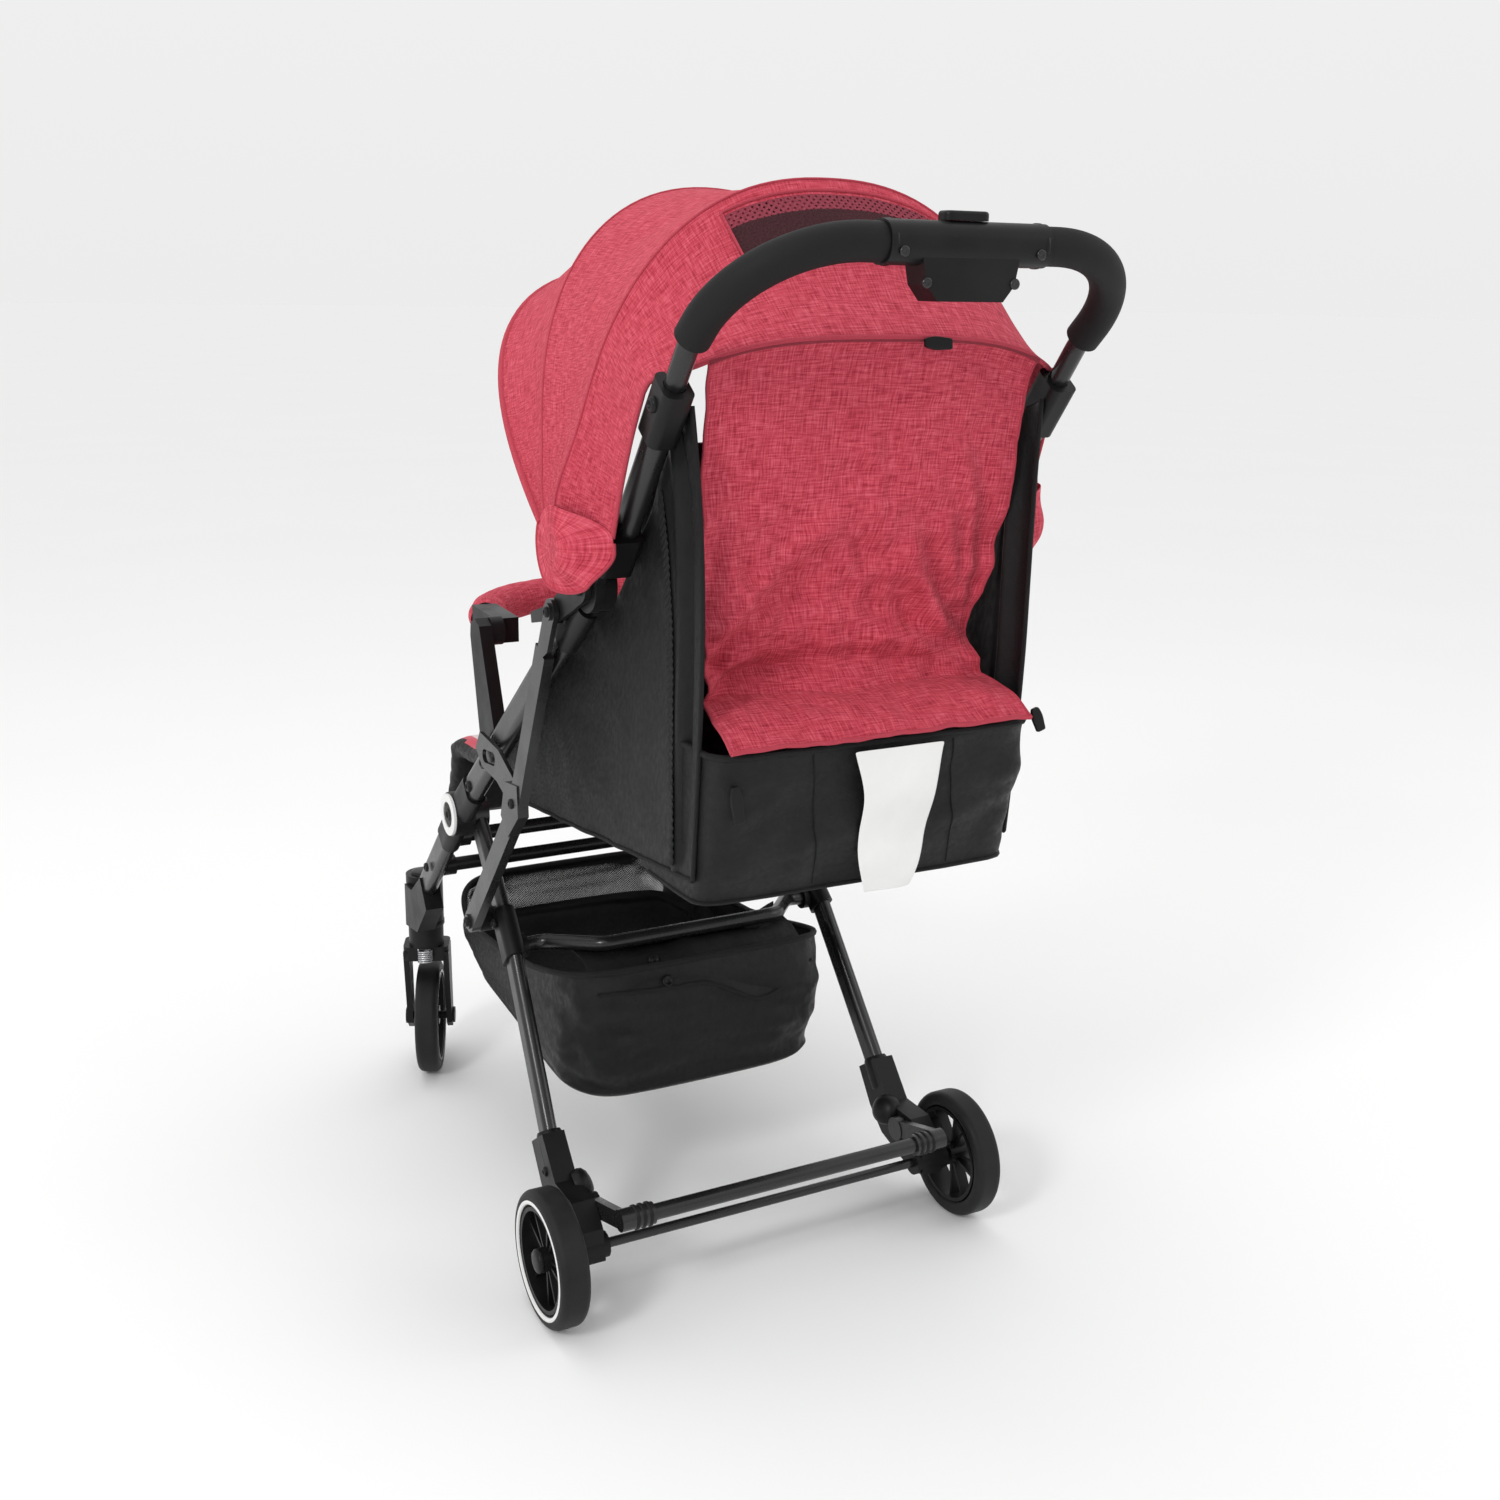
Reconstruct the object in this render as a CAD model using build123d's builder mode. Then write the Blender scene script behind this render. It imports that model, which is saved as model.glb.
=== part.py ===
"""Folding baby stroller: aluminium side frames, folding handle, reclining seat, sun canopy and basket.

Millimetres, +Z up, the child faces -Y and +X is the child's left. The sub-parts are drawn with y = 0 at the
rear axle and z = 0 on the floor, and save() moves them so that the origin lies under the middle of the box.
"""
import os
from math import cos, pi, radians, sin

from build123d import *

os.makedirs("parts", exist_ok=True)

# ---- driving dimensions ----
ORIGIN_SHIFT = 185.0                   # from the rear axle to the middle of the overall length
SIDES = (("left", 1), ("right", -1))
HINGE = (28, 731)                      # side view (y, z) of the hinge between front tube and handle sleeve
KNUCKLE = (-364, 412)                  # (y, z) of the joint between front tube, front leg and rear leg
ROD_TOP = (-29, 699)                   # (y, z) of the push rod's upper pivot
ROD_FOOT = (-278, 317)                 # (y, z) of the push rod's lower pivot, on the rear leg
LEG_END = (-522, 268)                  # (y, z) of the front leg's lower end
COLLAR = (155, 900)                    # (y, z) of the collar where the handle leaves its sleeve
FRAME_X = 197                          # middle of the front tubes
LEG_END_X = 191                        # middle of the front legs at their lower ends
SLEEVE_X = 186                         # middle of the handle sleeves
ROD_INNER, ROD_OUTER = 208.5, 218.5    # the push rods run outside the frame
REAR_LEG_X = 177.5                     # the rear legs start inside the knuckles and spread to the wheels

REAR_WHEEL_R = 68
FRONT_WHEEL_R = 71.5
REAR_WHEEL_X = 237                     # middle of the rear tyre
REAR_TYRE_W = 30
FRONT_TYRE_W = 28
SWIVEL = (176, -574)                   # (x, y) of the left caster's swivel axis
TRAIL = 20                             # the wheel's centre lies this far behind the swivel axis
CASTER_YAW = 23                        # degrees that both casters are turned

CANOPY_PIVOT = (58, 769)
# bow: half width at the pivot, reach, angle from +Y, squareness of the arch
BOWS = {"rear": (226, 296, 87.2, 2.3), "middle": (234, 367, 125.7, 2.03), "front": (242, 398, 145.4, 2.5)}
SEAM = (226, 196, 57.5, 7.0)           # the canopy's rear hem
BUMPER_PIVOT = (-275, 634)
RECLINE_PIVOT = (-70, 505)
BACKREST_LENGTH = 360
BACKREST_ANGLE = 78
LEGREST_PIVOT = (-322, 448)


def save(part, name):
    """Label a finished piece, move it to the row frame and write it."""
    shape = part.part.moved(Location((0, ORIGIN_SHIFT, 0)))
    shape.label = name
    export_step(shape, f"parts/{name}.step")


def yz(x, point):
    return Vector(x, point[0], point[1])


def along(start, end, distance):
    a, b = Vector(start), Vector(end)
    return a + (b - a).normalized() * distance


def across(origin, direction):
    """Plane across a tube, with its local x along the object's X."""
    return Plane(origin=origin, x_dir=Vector(1, 0, 0), z_dir=Vector(direction).normalized())


def profile(points, x_from, x_to):
    """Side-view outline extruded from one x to another, added to the current part."""
    with BuildSketch(Plane.YZ.offset(x_from)) as outline:
        with BuildLine():
            Polyline(*points, close=True)
        make_face()
    extrude(outline.sketch, amount=x_to - x_from)


def disc(centre, radius, x_from, x_to, mode=Mode.ADD):
    with BuildSketch(Plane.YZ.offset(x_from)) as circle:
        with Locations(centre):
            Circle(radius)
    extrude(circle.sketch, amount=x_to - x_from, mode=mode)


def oval(start, end, wide, deep, mode=Mode.ADD):
    """Straight flat-oval bar, wide along X, added to the current part."""
    run = Vector(end) - Vector(start)
    with BuildSketch(across(start, run)) as section:
        SlotOverall(deep, wide, rotation=90)
    extrude(section.sketch, amount=run.length, mode=mode)


# ---- front frame ----
def front_tube(side):
    hinge, knuckle = yz(side * FRAME_X, HINGE), yz(side * FRAME_X, KNUCKLE)
    with BuildPart() as tube:
        oval(along(hinge, knuckle, 30), along(knuckle, hinge, 30), 16, 32)
        oval(along(hinge, knuckle, 30), along(knuckle, hinge, 30), 13, 29, Mode.SUBTRACT)
    return tube


def front_leg(side):
    knuckle, end = yz(side * FRAME_X, KNUCKLE), yz(side * LEG_END_X, LEG_END)
    with BuildPart() as leg:
        oval(along(knuckle, end, 30), end, 16, 32)
        oval(along(knuckle, end, 30), end, 13, 29, Mode.SUBTRACT)
    return leg


def knuckle(side):
    """Moulded joint: a round boss with a sleeve for the front tube and one for the front leg."""
    x = side * FRAME_X
    centre, hinge, end = yz(x, KNUCKLE), yz(x, HINGE), yz(side * LEG_END_X, LEG_END)
    with BuildPart() as joint:
        disc(KNUCKLE, 25, side * 186.5, side * 208)
        oval(centre, along(centre, hinge, 68), 21, 38)
        oval(centre, along(centre, end, 64), 21, 38)
        oval(along(centre, hinge, 29.9), along(centre, hinge, 80), 16.1, 32.1, Mode.SUBTRACT)
        oval(along(centre, end, 29.9), along(centre, end, 80), 16.1, 32.1, Mode.SUBTRACT)
        with BuildSketch(Plane.YZ.offset(side * 180)):
            with Locations(KNUCKLE):
                Circle(120)
        extrude(amount=side * 6.5, mode=Mode.SUBTRACT)
    return joint


def knuckle_rings():
    """Pale trim rings on the outside of both knuckles."""
    with BuildPart() as rings:
        for _, side in SIDES:
            disc(KNUCKLE, 23.5, side * 208.05, side * 211)
            disc(KNUCKLE, 14.5, side * 208.05, side * 211, Mode.SUBTRACT)
    return rings


def hinge_housings():
    """Upper ends of the front frame: sleeves on the front tubes with the inner halves of the hinges."""
    with BuildPart() as housings:
        for _, side in SIDES:
            centre, lower = yz(side * FRAME_X, HINGE), yz(side * FRAME_X, KNUCKLE)
            disc(HINGE, 23, side * 186.5, side * 197.5)
            oval(along(centre, lower, 27), along(centre, lower, 92), 21, 38)
            with BuildSketch(across(centre, lower - centre).offset(18)):
                with Locations((-side * 5, 0)):
                    Rectangle(11, 34)
            extrude(amount=14)
            oval(along(centre, lower, 29.9), along(centre, lower, 100), 16.1, 32.1, Mode.SUBTRACT)
    return housings


def cross_tube(point, half):
    """Round tube across the frame with a moulded socket at each end."""
    with BuildPart() as tube:
        disc(point, 8, -half, half)
        for _, side in SIDES:
            disc(point, 12, side * (half - 14), side * half)
        fillet(tube.edges().filter_by(GeomType.CIRCLE).group_by(Axis.X)[1], 1.5)
    return tube


def bumper_brackets():
    """Uprights on the front tubes that carry the bumper bar."""
    with BuildPart() as brackets:
        for _, side in SIDES:
            profile([(-262, 500), (-222, 536), (-262, 642), (-275, 648), (-288, 642), (-290, 628)],
                    side * (FRAME_X - 7), side * (FRAME_X + 7))
            oval(yz(side * FRAME_X, HINGE), yz(side * FRAME_X, KNUCKLE), 18, 32.3, Mode.SUBTRACT)
        below = [(-420, 380), (60, 770), (60, 700), (-420, 300)]
        with BuildSketch(Plane.YZ.offset(-230)):
            with BuildLine():
                Polyline(*[(y, z - 14) for y, z in below], close=True)
            make_face()
        extrude(amount=460, mode=Mode.SUBTRACT)
    return brackets


def caster_housing(side):
    """Vertical caster barrel with the arm that takes the front leg's end."""
    end, upper = yz(side * LEG_END_X, LEG_END), yz(side * FRAME_X, KNUCKLE)
    with BuildPart() as housing:
        with BuildSketch(Plane.XY.offset(206)):
            with Locations((side * SWIVEL[0], SWIVEL[1])):
                Circle(22.5)
        extrude(amount=66)
        profile([(-572, 208), (-526, 214), (-486, 256), (-508, 290), (-545, 262), (-572, 262)],
                side * (LEG_END_X - 11), side * (LEG_END_X + 11))
        oval(along(end, upper, -3), along(end, upper, 90), 16.4, 32.4, Mode.SUBTRACT)
        fillet(housing.edges().filter_by(GeomType.CIRCLE).group_by(Axis.Z)[-1], 5)
        with BuildSketch(Plane.XZ.offset(-(SWIVEL[1] - 18))):
            with Locations((side * SWIVEL[0], 248)):
                RectangleRounded(10, 18, 2)
        extrude(amount=13)
    return housing


# ---- casters ----
def caster_plane(side):
    """Plane at the swivel axis whose local x is the caster's own sideways direction."""
    yaw = radians(CASTER_YAW)
    return Plane(origin=(side * SWIVEL[0], SWIVEL[1], 0), x_dir=(cos(yaw), -sin(yaw), 0), z_dir=(0, 0, 1))


def caster_fork(side):
    """Fork under the barrel: crown, two arms and the axle with its round heads."""
    frame = caster_plane(side)
    axle = wheel_plane(side, True)
    with BuildPart() as fork:
        with BuildSketch(frame.offset(178)):
            Circle(21.5)
        extrude(amount=27.5)
        with BuildSketch(frame.offset(160)):
            with Locations((0, -4)):
                RectangleRounded(56, 40, 8)
        extrude(amount=18.2)
        for arm in (-1, 1):
            wall = Plane(origin=frame.from_local_coords(Vector(arm * 24.5 - 3.5, 0, 0)), x_dir=frame.y_dir,
                         z_dir=frame.x_dir)
            with BuildSketch(wall):
                with BuildLine():
                    Polyline((16, 172), (-24, 172), (8 - TRAIL - 20, 64), (-TRAIL, 56), (12 - TRAIL, 66),
                             (16, 172))
                make_face()
            extrude(amount=7)
            with BuildSketch(axle.offset(arm * 27.9)):
                Circle(10)
            extrude(amount=arm * 3)
        with BuildSketch(axle.offset(-29)):
            Circle(5)
        extrude(amount=58)
    return fork


def wheel_plane(side, front):
    """Plane through a wheel's centre with its normal along the axle."""
    if front:
        frame = caster_plane(side)
        centre = frame.from_local_coords(Vector(0, -TRAIL, FRONT_WHEEL_R))
        return Plane(origin=centre, x_dir=frame.y_dir, z_dir=frame.x_dir)
    return Plane(origin=(side * REAR_WHEEL_X, 0, REAR_WHEEL_R), x_dir=(0, 1, 0), z_dir=(1, 0, 0))


def tyre(side, front):
    """Foam tyre, a ring with rounded shoulders."""
    radius, width = (FRONT_WHEEL_R, FRONT_TYRE_W) if front else (REAR_WHEEL_R, REAR_TYRE_W)
    plane = wheel_plane(side, front)
    with BuildPart() as ring:
        with BuildSketch(Plane(origin=plane.origin, x_dir=plane.x_dir, z_dir=plane.y_dir * -1)):
            with Locations((radius - 8, 0)):
                RectangleRounded(16, width, 7.4)
        revolve(axis=Axis(plane.origin, plane.z_dir))
    return ring


def rim(side, front):
    """Moulded rim with five pairs of thin spokes and a hub bored for the axle."""
    radius, width = (FRONT_WHEEL_R, FRONT_TYRE_W) if front else (REAR_WHEEL_R, REAR_TYRE_W)
    plane = wheel_plane(side, front)
    seat = radius - 16.1
    with BuildPart() as wheel:
        with BuildSketch(plane.offset(-width / 2 + 2)):
            Circle(seat)
            Circle(seat - 4, mode=Mode.SUBTRACT)
        extrude(amount=width - 4)
        with BuildSketch(plane.offset(-width / 2 + 3)):
            Circle(12)
        extrude(amount=width - 6)
        with BuildSketch(plane.offset(-width / 2 + 9)):
            for pair in range(5):
                for lean in (-13, 13):
                    with Locations(Location((0, 0), 72 * pair + lean) * Location((seat / 2, 0))):
                        Rectangle(seat - 3, 3.2)
        extrude(amount=width - 18)
        with BuildSketch(plane.offset(-width / 2)):
            Circle(5.3)
        extrude(amount=width, mode=Mode.SUBTRACT)
    return wheel


# ---- rear frame ----
LEG_CLIP = (-228, 300)
LEG_FOOT = (-92, 120)
BRAKE_PIVOT = (-30, 95)


def leg_line(side):
    return [yz(side * REAR_LEG_X, KNUCKLE), yz(side * 188, LEG_CLIP), yz(side * 198, LEG_FOOT)]


def rear_leg(side):
    """Rear leg from its pivot disc inside the knuckle to the wheel bracket."""
    top, middle, foot = leg_line(side)
    with BuildPart() as leg:
        oval(top, along(middle, top, -2), 15, 27)
        oval(along(middle, foot, -2), foot, 15, 27)
        disc(KNUCKLE, 22, side * 169.5, side * 185.8)
    return leg


def leg_clips():
    """Collars on the rear legs with the bosses that meet the push rods' feet."""
    with BuildPart() as clips:
        for _, side in SIDES:
            top, middle, foot = leg_line(side)
            oval(along(middle, top, 44), along(middle, foot, 14), 22, 35)
            disc(ROD_FOOT, 13, side * 182, side * 207.8)
            disc((-238, 296), 13, side * 170, side * 186)
            oval(along(middle, top, 80), along(middle, top, -2.2), 15.4, 27.4, Mode.SUBTRACT)
            oval(along(middle, foot, -2.2), along(middle, foot, 60), 15.4, 27.4, Mode.SUBTRACT)
    return clips


def wheel_bracket(side):
    """Bracket on the leg's foot, bored for the rear axle."""
    _, middle, foot = leg_line(side)
    with BuildPart() as bracket:
        profile([(-122, 128), (-92, 150), (-58, 112), (-14, 112), (8, 90), (14, 58), (-13, 54), (-70, 70),
                 (-96, 92)], side * 186, side * 210)
        oval(along(foot, middle, -0.1), along(foot, middle, 120), 15.2, 27.2, Mode.SUBTRACT)
        disc((0, REAR_WHEEL_R), 13, side * 180, side * 220)
        disc((0, REAR_WHEEL_R), 5.05, side * 170, side * 222, Mode.SUBTRACT)
    return bracket


def rear_axle():
    """Axle rod through both brackets and wheels, with a head at each end."""
    with BuildPart() as axle:
        disc((0, REAR_WHEEL_R), 5, -250.5, 250.5)
        for _, side in SIDES:
            disc((0, REAR_WHEEL_R), 9, side * 250.2, side * 253)
    return axle


def rear_cross_tube():
    """Bowed tube that joins both rear legs and holds the basket's rear edge."""
    with BuildPart() as tube:
        with BuildLine() as path:
            FilletPolyline((-169.5, -238, 296), (-150, -238, 297), (-104, -176, 308), (104, -176, 308),
                           (150, -238, 297), (169.5, -238, 296), radius=20)
        with BuildSketch(Plane(path.wire() @ 0, x_dir=(0, 0, 1), z_dir=path.wire() % 0)):
            Circle(8)
            Circle(6.5, mode=Mode.SUBTRACT)
        sweep(path=path.wire())
    return tube


def brake_bar():
    """Foot bar behind the wheels, with an arm on each side that pivots on the wheel bracket."""
    with BuildPart() as bar:
        disc((45, 118), 8, -185, 185)
        for _, side in SIDES:
            disc((45, 118), 11, side * 150, side * 185.5)
            disc(BRAKE_PIVOT, 13, side * 176, side * 185.6)
            profile([(-30, 86), (45, 109), (45, 127), (-30, 105)], side * 177, side * 185.5)
    return bar


# ---- handle frame ----
SLEEVE_DIR = (Vector(0, *COLLAR) - Vector(0, *HINGE)).normalized()


def sleeve(side):
    """Outer tube that the handle slides in."""
    foot = yz(side * SLEEVE_X, HINGE) + SLEEVE_DIR * 34
    top = yz(side * SLEEVE_X, COLLAR) - SLEEVE_DIR * 20
    with BuildPart() as tube:
        oval(foot, top, 20, 27)
        with BuildSketch(across(foot - SLEEVE_DIR, SLEEVE_DIR)):
            Circle(9.4)
        extrude(amount=400, mode=Mode.SUBTRACT)
    return tube


def hinge_arm(side):
    """Outer half of the hinge: block on the sleeve's foot, disc, and the arm that drives the push rod."""
    centre = yz(side * SLEEVE_X, HINGE)
    with BuildPart() as arm:
        disc(HINGE, 24, side * 198.2, side * 207)
        with BuildSketch(across(centre, SLEEVE_DIR).offset(26)):
            with Locations((side * 5, 0)):
                RectangleRounded(32, 36, 6)
        extrude(amount=42)
        with BuildSketch(across(centre, SLEEVE_DIR).offset(14)):
            with Locations((side * 16.5, 0)):
                Rectangle(8.6, 32)
        extrude(amount=14)
        oval(centre + SLEEVE_DIR * 33.9, centre + SLEEVE_DIR * 90, 20.1, 27.1, Mode.SUBTRACT)
        disc(HINGE, 15, side * 207, side * 213.2)
        disc(ROD_TOP, 11, side * 208.3, side * 213.2)
        profile([(22, 745), (-34, 709), (-25, 689), (34, 717)], side * 208.3, side * 213.2)
        profile([(-32, 690), (-88, 678), (-90, 688), (-34, 706)], side * 209, side * 213)
    return arm


def collars():
    """Clamps at the tops of the sleeves."""
    with BuildPart() as clamps:
        for _, side in SIDES:
            base = yz(side * SLEEVE_X, COLLAR) - SLEEVE_DIR * 42
            with BuildSketch(across(base, SLEEVE_DIR)):
                RectangleRounded(27, 33, 8)
            extrude(amount=52)
            oval(base - SLEEVE_DIR, base + SLEEVE_DIR * 22.1, 20.1, 27.1, Mode.SUBTRACT)
            with BuildSketch(across(base, SLEEVE_DIR)):
                Circle(9.4)
            extrude(amount=60, mode=Mode.SUBTRACT)
    return clamps


def canopy_mounts():
    """Bosses on the outsides of the sleeves that the canopy bows pivot on."""
    with BuildPart() as mounts:
        for _, side in SIDES:
            disc(CANOPY_PIVOT, 13, side * 207.05, side * 222)
    return mounts


# ---- handle ----
BAR = (273, 1016.5)                    # (y, z) of the handle's cross bar
BEND_R = 98


def handle_tube():
    """Bent tube that telescopes in both sleeves and carries the grips."""
    low = Vector(0, *COLLAR) - SLEEVE_DIR * 90
    knee = Vector(0, *COLLAR) + SLEEVE_DIR * 50
    points = [Vector(SLEEVE_X, low.Y, low.Z), Vector(SLEEVE_X, knee.Y, knee.Z), Vector(SLEEVE_X - 4, *BAR)]
    mirrored = [Vector(-p.X, p.Y, p.Z) for p in reversed(points)]
    with BuildPart() as tube:
        with BuildLine() as path:
            FilletPolyline(*points, *mirrored, radius=[60, BEND_R, BEND_R, 60])
        with BuildSketch(across(path.wire() @ 0, path.wire() % 0)):
            Circle(9)
            Circle(7.5, mode=Mode.SUBTRACT)
        sweep(path=path.wire())
    return tube


def grip(side):
    """Foam grip around the bend of the handle."""
    knee = Vector(0, *COLLAR) + SLEEVE_DIR * 50
    knee = Vector(side * SLEEVE_X, knee.Y, knee.Z)
    corner = Vector(side * (SLEEVE_X - 4), *BAR)
    with BuildPart() as foam:
        with BuildLine() as path:
            FilletPolyline(along(knee, corner, 8), corner, Vector(side * 73.3, *BAR), radius=BEND_R)
        with BuildSketch(across(path.wire() @ 0, path.wire() % 0)):
            Circle(15)
            Circle(9.1, mode=Mode.SUBTRACT)
        sweep(path=path.wire())
    return foam


def handle_cover():
    """Plastic housing in the middle of the handle."""
    with BuildPart() as cover:
        with BuildSketch(Plane.YZ.offset(-73)):
            with Locations(BAR):
                RectangleRounded(33, 33, 14)
        extrude(amount=146)
        with BuildSketch(Plane.XZ.offset(-(BAR[0] - 12))):
            with BuildLine():
                Polyline((-46, BAR[1]), (-40, BAR[1] - 30), (-30, BAR[1] - 42), (30, BAR[1] - 42),
                         (40, BAR[1] - 30), (46, BAR[1]), close=True)
            make_face()
        extrude(amount=-26)
        disc(BAR, 9.1, -80, 80, Mode.SUBTRACT)
    return cover


def fold_button():
    with BuildPart() as button:
        with BuildSketch(Plane.XY.offset(BAR[1] + 16.8)):
            with Locations((0, BAR[0])):
                RectangleRounded(40, 17, 6)
        extrude(amount=7)
        fillet(button.faces().sort_by(Axis.Z)[-1].edges(), 2.5)
    return button


# ---- push rods ----
def push_rod(side):
    """Bowed flat rod with its upper eye, middle collar and the slotted arm beside the front tube."""
    inner, outer = side * ROD_INNER, side * ROD_OUTER
    with BuildPart() as rod:
        disc(ROD_TOP, 12, side * 213.6, outer)
        profile([(-39, 704), (-60, 660), (-57, 648), (-36, 660), (-19, 694)], side * 213.6, outer)
        with BuildSketch(Plane.YZ.offset(inner)):
            with BuildLine():
                Polyline((-64, 664), (-109, 564), (-145, 489), (-286, 325), (-270, 309), (-124, 476),
                         (-86, 560), (-43, 652), close=True)
            make_face()
        extrude(amount=outer - inner)
        disc(ROD_FOOT, 12, inner, outer)
        disc(ROD_FOOT, 8, outer, side * 221)
        disc(ROD_TOP, 8, outer, side * 221)
        profile([(-118, 512), (-152, 508), (-165, 470), (-146, 452), (-116, 480)], inner, side * 220)
        with BuildSketch(Plane.YZ.offset(inner)):
            with BuildLine():
                Polyline((-142, 474), (-196, 496), (-238, 500), (-258, 516), (-244, 536), (-190, 530),
                         (-136, 506), close=True)
            make_face()
            with Locations((-218, 515)):
                SlotOverall(38, 14, rotation=6, mode=Mode.SUBTRACT)
        extrude(amount=side * 4)
    return rod


# ---- bumper bar ----
def bumper_points():
    half, reach = 176, 183
    return [Vector(half * cos(radians(a)), BUMPER_PIVOT[0] - reach * sin(radians(a)) ** 0.86, BUMPER_PIVOT[1])
            for a in (18, 34, 50, 70, 90, 110, 130, 146, 162)]


def bumper_bar():
    """Padded bar in front of the child."""
    with BuildPart() as bar:
        with BuildLine() as path:
            Spline(*bumper_points())
        with BuildSketch(Plane(path.wire() @ 0, x_dir=(0, 0, 1), z_dir=path.wire() % 0)):
            Circle(19)
        sweep(path=path.wire())
    return bar


def bumper_arms():
    """Plastic ends of the bumper bar with their pivot discs beside the brackets."""
    first = bumper_points()[0]
    lead = bumper_points()[1] - first
    with BuildPart() as arms:
        for _, side in SIDES:
            disc(BUMPER_PIVOT, 15, side * 176, side * 189.6)
            profile([(-270, 621), (-340, 618), (-340, 650), (-270, 647)], side * 158, side * 184)
            cut = Plane(origin=(side * first.X, first.Y, first.Z), x_dir=(0, 0, 1),
                        z_dir=(side * lead.X, lead.Y, 0))
            with BuildSketch(cut.offset(-0.3)):
                Circle(60)
            extrude(amount=80, mode=Mode.SUBTRACT)
    return arms


# ---- seat and soft goods ----
def seat_base():
    with BuildPart() as pad:
        profile([(-312, 438), (150, 486), (148, 508), (-312, 464)], -157, 157)
        fillet(pad.edges().filter_by(Axis.X), 8)
    return pad


def backrest():
    lean = radians(BACKREST_ANGLE)
    base = Plane(origin=(0, *RECLINE_PIVOT), x_dir=(1, 0, 0), z_dir=(0, cos(lean), sin(lean)))
    with BuildPart() as back:
        with BuildSketch(base):
            RectangleRounded(296, 20, 9)
        extrude(amount=BACKREST_LENGTH)
    return back


def leg_rest():
    with BuildPart() as rest:
        profile([(-322, 440), (-536, 428), (-572, 330), (-590, 336), (-560, 440), (-545, 448), (-322, 463)],
                -150, 150)
        fillet(rest.edges().filter_by(Axis.X).group_by(Axis.Y)[1:-2], 4)
    return rest


def side_panel(side):
    with BuildPart() as panel:
        profile([(-312, 444), (152, 494), (168, 620), (158, 890), (138, 880), (24, 722), (-140, 600),
                 (-312, 492)], side * 161, side * 164.5)
    return panel


def seat_box():
    """Black fabric well behind the seat, open at the top."""
    with BuildPart() as box:
        profile([(60, 469), (161, 474), (190, 607), (60, 607)], -160.5, 160.5)
        with BuildSketch(Plane.YZ.offset(-157)):
            with BuildLine():
                Polyline((40, 474), (154, 485.9), (158, 490), (186.5, 620), (40, 620), close=True)
            make_face()
        extrude(amount=314, mode=Mode.SUBTRACT)
    return box


def rear_flap():
    with BuildPart() as flap:
        profile([(160, 921), (163, 921), (139, 790), (118, 690), (119, 655), (150, 634), (196, 620),
                 (195, 615), (148, 630), (115, 652), (114, 690), (135, 791)], -150, 150)
    return flap


def basket():
    """Open basket between the legs."""
    with BuildPart() as tray:
        profile([(-545, 272), (-478, 170), (-300, 148), (-140, 142), (-118, 168), (-131, 292), (-140, 292),
                 (-300, 250), (-476, 236)], -158, 158)
        with BuildSketch(Plane.YZ.offset(-155)):
            with BuildLine():
                Polyline((-551, 276), (-540, 272), (-476, 173.5), (-300, 151), (-141, 145), (-121, 169),
                         (-134, 300), (-551, 300), close=True)
            make_face()
        extrude(amount=310, mode=Mode.SUBTRACT)
    return tray


# ---- canopy ----
def arch_point(arch, turn, grow=0.0):
    """Point on a canopy arch, turn running from 0 at the left pivot to pi at the right pivot."""
    half, reach, angle, square = arch
    c, s = cos(turn), sin(turn)
    x = (half + grow) * (1 if c >= 0 else -1) * abs(c) ** (2 / square)
    rise = (reach + grow) * abs(s) ** (2 / square)
    return Vector(x, CANOPY_PIVOT[0] + rise * cos(radians(angle)), CANOPY_PIVOT[1] + rise * sin(radians(angle)))


def canopy_bow(name):
    """Round bow with an eye at each end, side by side with its neighbours on the pivot."""
    arch = BOWS[name]
    turns = [pi * k / 22 for k in range(23)]
    turns = [0.06] + [t for t in turns if 0.1 < t < pi - 0.1] + [pi - 0.06]
    with BuildPart() as bow:
        with BuildLine() as path:
            Spline(*[arch_point(arch, t) for t in turns])
        with BuildSketch(Plane(path.wire() @ 0, x_dir=(1, 0, 0), z_dir=path.wire() % 0)):
            Circle(3.4)
        sweep(path=path.wire())
        for _, side in SIDES:
            disc(CANOPY_PIVOT, 11, side * (arch[0] - 3.6), side * (arch[0] + 3.6))
            foot = Vector(side * arch[0], *CANOPY_PIVOT)
            tip = arch_point(arch, 0.06 if side > 0 else pi - 0.06)
            with BuildSketch(Plane(origin=foot, x_dir=(1, 0, 0), z_dir=tip - foot)):
                Rectangle(6.8, 9)
            extrude(amount=(tip - foot).length)
    return bow


def canopy_panel(rear, front):
    """Fabric stretched between two arches, open at the pivots."""
    turns = [0.2 + (pi - 0.4) * k / 20 for k in range(21)]
    with BuildPart() as panel:
        for arch in (rear, front):
            outer = [arch_point(arch, t, 6.4) for t in turns]
            inner = [arch_point(arch, t, 4.7) for t in reversed(turns)]
            with BuildSketch(Plane(origin=(0, *CANOPY_PIVOT), x_dir=(1, 0, 0),
                                   z_dir=(0, sin(radians(arch[2])), -cos(radians(arch[2]))))) as face:
                plane = face.workplanes[0]
                with BuildLine():
                    Spline(*[plane.to_local_coords(p) for p in outer])
                    Spline(*[plane.to_local_coords(p) for p in inner])
                    Line(plane.to_local_coords(outer[-1]), plane.to_local_coords(inner[0]))
                    Line(plane.to_local_coords(inner[-1]), plane.to_local_coords(outer[0]))
                make_face()
        loft(ruled=True)
    return panel


def shifted(arch, degrees_):
    return (arch[0], arch[1], arch[2] + degrees_, arch[3])


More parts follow.
